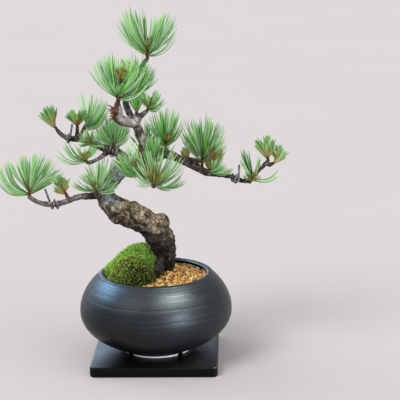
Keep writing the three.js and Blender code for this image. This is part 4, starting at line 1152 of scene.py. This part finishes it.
def make_spray(spray, seed, looks, wood):
    """A tuft of needles or a candle on its core, with its heart and its bud."""
    rng = np.random.default_rng(seed)
    axis, candle = spray["axis"], spray["candle"]
    base = spray["base"] * MM + axis * GAP * MM
    sheaves = sheaves_of(spray)
    length = max(sheaf[1] for sheaf in sheaves) * MM
    core = max(CORE["shortest"] * MM, CORE["share"] * length)
    angle, lean, reach, along, tone, curl = needles_of(spray, sheaves, core, rng)
    angle, lean = np.radians(angle), np.radians(lean)
    roots = base + axis * along[:, None]
    tips = base + lie(angle, lean) * (reach * MM)[:, None]
    first = lie(angle * (1 + curl), lean * (1 + 0.5 * curl))
    last = lie(angle * (1 - curl), lean * (1 - 0.5 * curl))
    paths = needle_paths(roots, first, last, np.linalg.norm(tips - roots, axis=1) * NEEDLE["slack"])
    pull = np.linspace(0, 1, NEEDLE["rings"]) ** NEEDLE["pull"]
    paths += (tips - paths[:, -1])[:, None] * pull[:, None]
    outer = paths[:, NEEDLE["free_from"]:].reshape(-1, 3)
    free = clear_of_wood(outer, wood, NEEDLE["wood_gap"]).reshape(len(paths), -1).all(axis=1)
    paths, tone = paths[free], np.clip(tone[free], 0, 1)

    soup = Soup("along", "tone", "band")
    inside_out = rng.random(len(paths)) < spray["pale"]
    shades = [rng.uniform(*NEEDLE[kind], len(paths)) for kind in ("pale", "green")]
    pale = np.where(inside_out, *shades)
    slot = YOUNG if candle else GREEN
    add_needles(soup, paths, axis, rng, spray["thickness"], slot, tone, spray["ripe"], pale)
    usual = [list(axis * 0.8 * core / MM), tilt_of(axis), 0.2 * length / MM]
    offset, tilt, size = spray["heart"] or usual
    heart, way = base + np.array(offset) * MM, lie(math.radians(tilt), math.radians(spray["lean"]))
    if not candle and size > 0:
        add_heart(soup, heart, way, size, rng)
    bud = max(SPINDLE["shortest"], 0 if candle else SPINDLE["of_heart"] * size) * MM
    stem = (base - axis * CORE["below"] * MM, axis, core + CORE["below"] * MM, 0.05, 0.3)
    for place, along, reach, dark, lighter in (stem, (heart, way, bud, 0.3, 0.6)):
        body, faces, scales = spindle(place, along, reach, rng)
        soup.add(body, faces, SCALES, tone=dark + lighter * scales)
    piece = soup.piece("shoot_" + spray["name"], looks, smooth_faces=False)
    keep(piece, "candles" if candle else "needles", spray["name"])


def add_heart(soup, base, axis, size, rng):
    """Short ochre needles round the bud, still half in their sheaths."""
    count = round(HEART["fewest"] + HEART["per_mm"] * size)
    polar = math.radians(HEART["spread"]) * np.sqrt((np.arange(count) + 0.5) / count)
    azimuth = np.arange(count) * GOLDEN_ANGLE
    first, last = (towards(axis, bend * polar, azimuth) for bend in HEART["bend"])
    reach = size * MM * rng.uniform(*HEART["reach"], count)
    paths = needle_paths(np.tile(base, (count, 1)), first, last, reach)
    thickness = NEEDLE["young_radius"] * HEART["slimmer"]
    add_needles(soup, paths, axis, rng, thickness, YOUNG, rng.uniform(0, 1, count), ripe=HEART["ripe"])


def make_curls(look):
    """Dry curls of bark that peel off the riser."""
    rng = np.random.default_rng(SEEDS["curls"])
    count, sides, rings = CURLS["count"], CURLS["sides"], NEEDLE["rings"]
    spot = rng.uniform(CURLS["low"], CURLS["high"], (count, 3))
    first = unit(rng.normal(CURLS["way"], CURLS["scatter"], (count, 3)))
    last = unit(first + rng.normal(0, CURLS["bend"], (count, 3)))
    paths = needle_paths(spot * MM, first, last, rng.uniform(*CURLS["reach"], count) * MM)
    width = CURLS["radius"] * MM * np.interp(np.linspace(0, 1, rings), [0, 0.6, 1], [0.8, 1, 0.2])
    reference = unit(np.cross(first, [0.1, 0.3, 1]))[:, None]
    corners, faces = prisms(paths, np.tile(width, (count, 1)), sides, reference)
    soup = Soup("tone")
    soup.add(corners, faces, tone=np.repeat(rng.uniform(0.3, 1, count), sides * rings))
    keep(soup.piece("riser_curls", [look], smooth_faces=False), "bark", "trunk")


# ---- Moss and gravel ----
CUSHION = dict(rings=40, sides=90, size=0.955, lumps=6.0, swell=0.05, wall_gap=1.0)
# A leaf has three rings: where they are, their radii and their colours, as shares of its length and radius.
LEAF = dict(
    rings=[0, 0.55, 1], taper=[0.8, 1.0, 0.15], along=[0.2, 0.6, 1.0], radius=0.15, sides=3,
    size=[0.65, 1.25], width=[0.8, 1.2], upward=0.2, bow=0.12, foot=0.95, wall_gap=1.2, wood_gap=0.6,
    overlap=1.0,
)
BED = dict(rings=24, sides=120, radii=[0.5, 46.6], sunk=1.6, rough=0.4, lumps=2.0, seed=3)
# Layers of grains: how many are tried, their height over the gravel's top, and the room each one takes.
LAYERS = [[2600, -0.9, 1.75], [3000, 0.15, 1.9]]
GRAIN = dict(
    size=[0.85, 1.55], shape=[1.15, 1.0, 0.75], own=[0.85, 1.15], tip=0.5, facets=7, facet_at=0.82,
    lift=[-0.25, 0.35], tone=[0.5, 0.26], wall_gap=1.6, wood_gap=0.2, under_moss=1.5,
)


def dome_point(moss, lean, angle):
    """A point of a moss cushion in millimetres, lean from 0 on top to a right angle at its foot."""
    wide = np.where(np.cos(angle) < 0, moss["left"], moss["right"])
    x = moss["centre"][0] + wide * np.sin(lean) * np.cos(angle)
    y = moss["centre"][1] + moss["deep"] * np.sin(lean) * np.sin(angle)
    slump = moss["slump"] * smooth((moss["centre"][0] - x) / moss["left"], 0.0, 0.7) * np.sin(2 * lean)
    return np.stack([x, y, SOIL_TOP + GAP + moss["height"] * np.cos(lean) - slump], -1)


def swollen(moss, size, lean, angle):
    """Points of a cushion of this share of its size, moved in and out by soft lumps, and its middle."""
    dome = dome_point(moss, lean, angle)
    middle = np.array([*moss["centre"], SOIL_TOP])
    swell = CUSHION["swell"] * lumps(dome, CUSHION["lumps"], moss["seed"])
    return middle + (dome - middle) * (size + swell)[:, None], middle


def wall_at(heights):
    """Radius of the pot's inside, also for heights past its floor or its rim."""
    return wall_radius("inside", np.clip(heights, POT["floor_top"], POT["rim_z"] - POT["lip"]))


def inside_pot(points, margin):
    """Which points keep clear of the wall, or are above the rim."""
    radius = np.hypot(points[:, 0], points[:, 1])
    return (radius < wall_at(points[:, 2]) - margin) | (points[:, 2] > POT["rim_z"] + margin)


def inside_moss(points, moss, less):
    """Which points lie in a cushion that is smaller by this much on all sides."""
    x, y, z = (points - [*moss["centre"], SOIL_TOP]).T
    wide = np.where(x < 0, moss["left"], moss["right"])
    halves = (wide - less, moss["deep"] - less, moss["height"] - less)
    return sum((v / half) ** 2 for v, half in zip((x, y, z), halves)) < 1


def lumps(points, size, seed):
    """Soft noise at points in millimetres, with lumps of about this size."""
    shift = Vector((seed, 0, 0))
    return np.array([noise.fractal(Vector(p) / size + shift, 0.8, 2.1, 3) for p in points])


def make_moss(name, other, wood):
    """A soft cushion under thousands of tiny pointed leaves."""
    moss = MOSS[name]
    look = moss_look(moss["look"], *moss["colours"])
    rng = np.random.default_rng(moss["seed"])
    rings, sides = CUSHION["rings"], CUSHION["sides"]
    lean = np.repeat(np.linspace(0.03, math.pi / 2, rings)[::-1], sides)
    dome, _ = swollen(moss, CUSHION["size"], lean, np.tile(angles(sides), rings))
    wall = wall_at(dome[:, 2]) - CUSHION["wall_gap"]
    reach = np.hypot(dome[:, 0], dome[:, 1])
    held = (reach > wall) & (dome[:, 2] < POT["rim_z"] + 0.6)
    dome[held, :2] *= (wall / reach)[held, None]
    soup = Soup("along", "tone")
    # The cushion under the leaves takes a colour near their dark foot and a low tone, as painted shade in the
    # gaps between the leaves.
    soup.add(dome * MM, prism_faces(1, rings, sides), along=0.12, tone=rng.uniform(0.2, 0.6, len(dome)))
    add_leaves(soup, moss, MOSS[other], wood, rng)
    keep(soup.piece(name + "_cushion", [look], smooth_faces=False), moss["look"], name)


def add_leaves(soup, moss, other, wood, rng):
    """Stars of leaves in a spiral over the cushion, clear of the wood, the pot and the other cushion."""
    count = moss["stars"]
    share = (np.arange(count) + rng.uniform(0, 1, count)) / count
    angle = (np.arange(count) * GOLDEN_ANGLE + rng.normal(0, 0.02, count)) % TURN
    roots, middle = swollen(moss, LEAF["foot"], np.arccos(1 - share), angle)
    half = np.array([moss["left"], moss["deep"], moss["height"]])
    outward = unit((roots - middle) / half**2)
    kept = inside_pot(roots, LEAF["wall_gap"]) & ~inside_moss(roots, other, LEAF["overlap"])
    kept &= (roots[:, 2] > GRAVEL_TOP - 2) & clear_of_wood(roots * MM, wood, LEAF["wood_gap"])
    roots, outward = roots[kept], outward[kept]
    # Painted light: each star is lighter the more it faces up and to the left.
    tone = rng.uniform(0.25, 1, len(roots)) * (0.7 + outward @ MOSS_PAINTED_LIGHT)
    roots, outward, tone = (np.repeat(a, moss["leaves"], axis=0) for a in (roots, outward, tone))
    way = unit(outward + LEAF["upward"] * UP + rng.normal(0, moss["loose"], roots.shape))
    # Painted shade: leaves that lean away from the cushion's outward way are darker, so the gaps in the stars
    # look shaded.
    tone = tone * (0.15 + 0.85 * np.clip(np.sum(way * outward, axis=1), 0, 1) ** 3)
    size = moss["leaf"] * rng.uniform(*LEAF["size"], len(roots))
    t, sides = np.array(LEAF["rings"]), LEAF["sides"]
    bow = rng.normal(0, LEAF["bow"], roots.shape)
    straight = way[:, None] * (size[:, None] * t)[..., None]
    paths = roots[:, None] + straight + bow[:, None] * (size[:, None] * t**2)[..., None]
    radii = moss["leaf"] * LEAF["radius"] * np.array(LEAF["taper"])
    radii = radii * rng.uniform(*LEAF["width"], len(roots))[:, None]
    reference = unit(np.cross(way, rng.normal(size=way.shape)))[:, None]
    corners, faces = prisms(paths * MM, radii * MM, sides, reference)
    along = np.repeat(np.tile(LEAF["along"], len(roots)), sides)
    soup.add(corners, faces, along=along, tone=np.repeat(tone, sides * len(t)))


def icosphere():
    """Points and faces of a round ball of radius 1."""
    ball = bpy.data.meshes.new("ball")
    form = bmesh.new()
    bmesh.ops.create_icosphere(form, subdivisions=2, radius=1)
    form.to_mesh(ball)
    form.free()
    points = np.array([v.co for v in ball.vertices])
    faces = np.array([list(p.vertices) for p in ball.polygons])
    bpy.data.meshes.remove(ball)
    return points, faces


def heap(points):
    """How much the gravel is heaped up at each point, in millimetres."""
    far = np.hypot(points[..., 0] - MOUND["centre"][0], points[..., 1] - MOUND["centre"][1])
    return MOUND["height"] * np.exp(-((far / MOUND["reach"]) ** 2))


def gravel_bed():
    """The rough disc under the grains: its top, and a flat ring below its edge."""
    rings, sides = BED["rings"], BED["sides"]
    radii = np.linspace(*BED["radii"], rings)
    top = revolved(radii, np.full(rings, GRAVEL_TOP - BED["sunk"]), angles(sides)).reshape(-1, 3)
    top[:, 2] += BED["rough"] * lumps(top, BED["lumps"], BED["seed"]) + heap(top)
    bottom = top[-sides:].copy()
    bottom[:, 2] = SOIL_TOP + GAP
    return np.vstack([bottom, top[::-1].reshape(rings, sides, 3)[:, ::-1].reshape(-1, 3)])


def apart(points, spacing):
    """The points that keep this far from all those taken before them."""
    kept, grid = [], {}
    for p in points:
        column, row = int(p[0] // spacing), int(p[1] // spacing)
        beside = [(column + i, row + j) for i in (-1, 0, 1) for j in (-1, 0, 1)]
        near = [q for place in beside for q in grid.get(place, ())]
        if all(math.hypot(p[0] - q[0], p[1] - q[1]) > spacing for q in near):
            grid.setdefault((column, row), []).append(p)
            kept.append(p)
    return kept


def grain_of(ball, rng):
    """A small stone with a few worn facets, turned at random."""
    half = rng.uniform(*GRAIN["size"]) * np.array(GRAIN["shape"]) * rng.uniform(*GRAIN["own"], 3)
    turn = Matrix.Rotation(rng.uniform(0, TURN), 3, "Z")
    turn @= Matrix.Rotation(rng.normal(0, GRAIN["tip"]), 3, "X")
    facets = unit(rng.normal(size=(GRAIN["facets"], 3)))
    stone = ball / np.maximum(1, (ball @ facets.T).max(axis=1, keepdims=True) / GRAIN["facet_at"])
    return (stone * half) @ np.array(turn).T


def make_gravel(look, wood):
    """A bed of fine gravel under two layers of loose grains."""
    rng = np.random.default_rng(SEEDS["gravel"])
    ball, faces = icosphere()
    soup = Soup("tone")
    # The bed takes the darkest brown of the gravel, as painted shade in the gaps between the grains.
    soup.add(gravel_bed() * MM, prism_faces(1, BED["rings"] + 1, BED["sides"]), tone=0.02)
    for count, height, spacing in LAYERS:
        wall = float(wall_radius("inside", GRAVEL_TOP + height + 0.8)) - GRAIN["wall_gap"]
        spots = []
        for _ in range(count):
            radius, angle = math.sqrt(rng.uniform()) * wall, rng.uniform(0, TURN)
            spots.append([radius * math.cos(angle), radius * math.sin(angle), GRAVEL_TOP + height])
        spots = np.array(spots)
        spots[:, 2] += heap(spots)
        free = clear_of_wood(spots * MM, wood, GRAIN["wood_gap"])
        for moss in MOSS.values():
            free &= ~inside_moss(spots, moss, GRAIN["under_moss"])
        for spot in apart(spots[free], spacing):
            stone = grain_of(ball, rng) + spot + [0, 0, rng.uniform(*GRAIN["lift"])]
            soup.add(stone * MM, [faces], tone=np.clip(rng.normal(*GRAIN["tone"]), 0, 1))
    keep(soup.piece("gravel_grains", [look], smooth_faces=False), "gravel", "gravel")


# ---- Assembly ----
make_camera()
floor = Soup()
corners = [(-1, -1), (1, -1), (1, 1), (-1, 1)]
slab = [[x * FLOOR["reach"], y * FLOOR["reach"], z] for z in (-FLOOR["thick"], 0.0) for x, y in corners]
floor.add(np.array(slab), prism_faces(1, 2, 4))
floor = floor.piece("floor", [floor_look()], smooth_faces=False)

make_pot(glaze_look())
make_saucer(saucer_look())
make_lights()
for name, look in (("soil", soil_look()), ("drain_mesh", plastic_look())):
    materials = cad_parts[name].data.materials
    materials.clear()
    materials.append(look)

limbs = {name: Limb(path) for name, path in LIMBS.items()}
sprays = [shoot_of(*row) for row in SPRAYS]
twigs = [twig_of(spray, limbs) for spray in sprays]
wood = make_wood(bark_look(), limbs, twigs)
make_wires(limbs)
make_curls(bud_look())
needle_looks = [needle_look("needles", 1.0), needle_look("young_needles", 0.5), bud_look()]
for number, spray in enumerate(sprays):
    make_spray(spray, SEEDS["shoots"] + number, needle_looks, wood)
make_moss("moss_back", "moss_front", wood)
make_moss("moss_front", "moss_back", wood)
make_gravel(gravel_look(), wood)
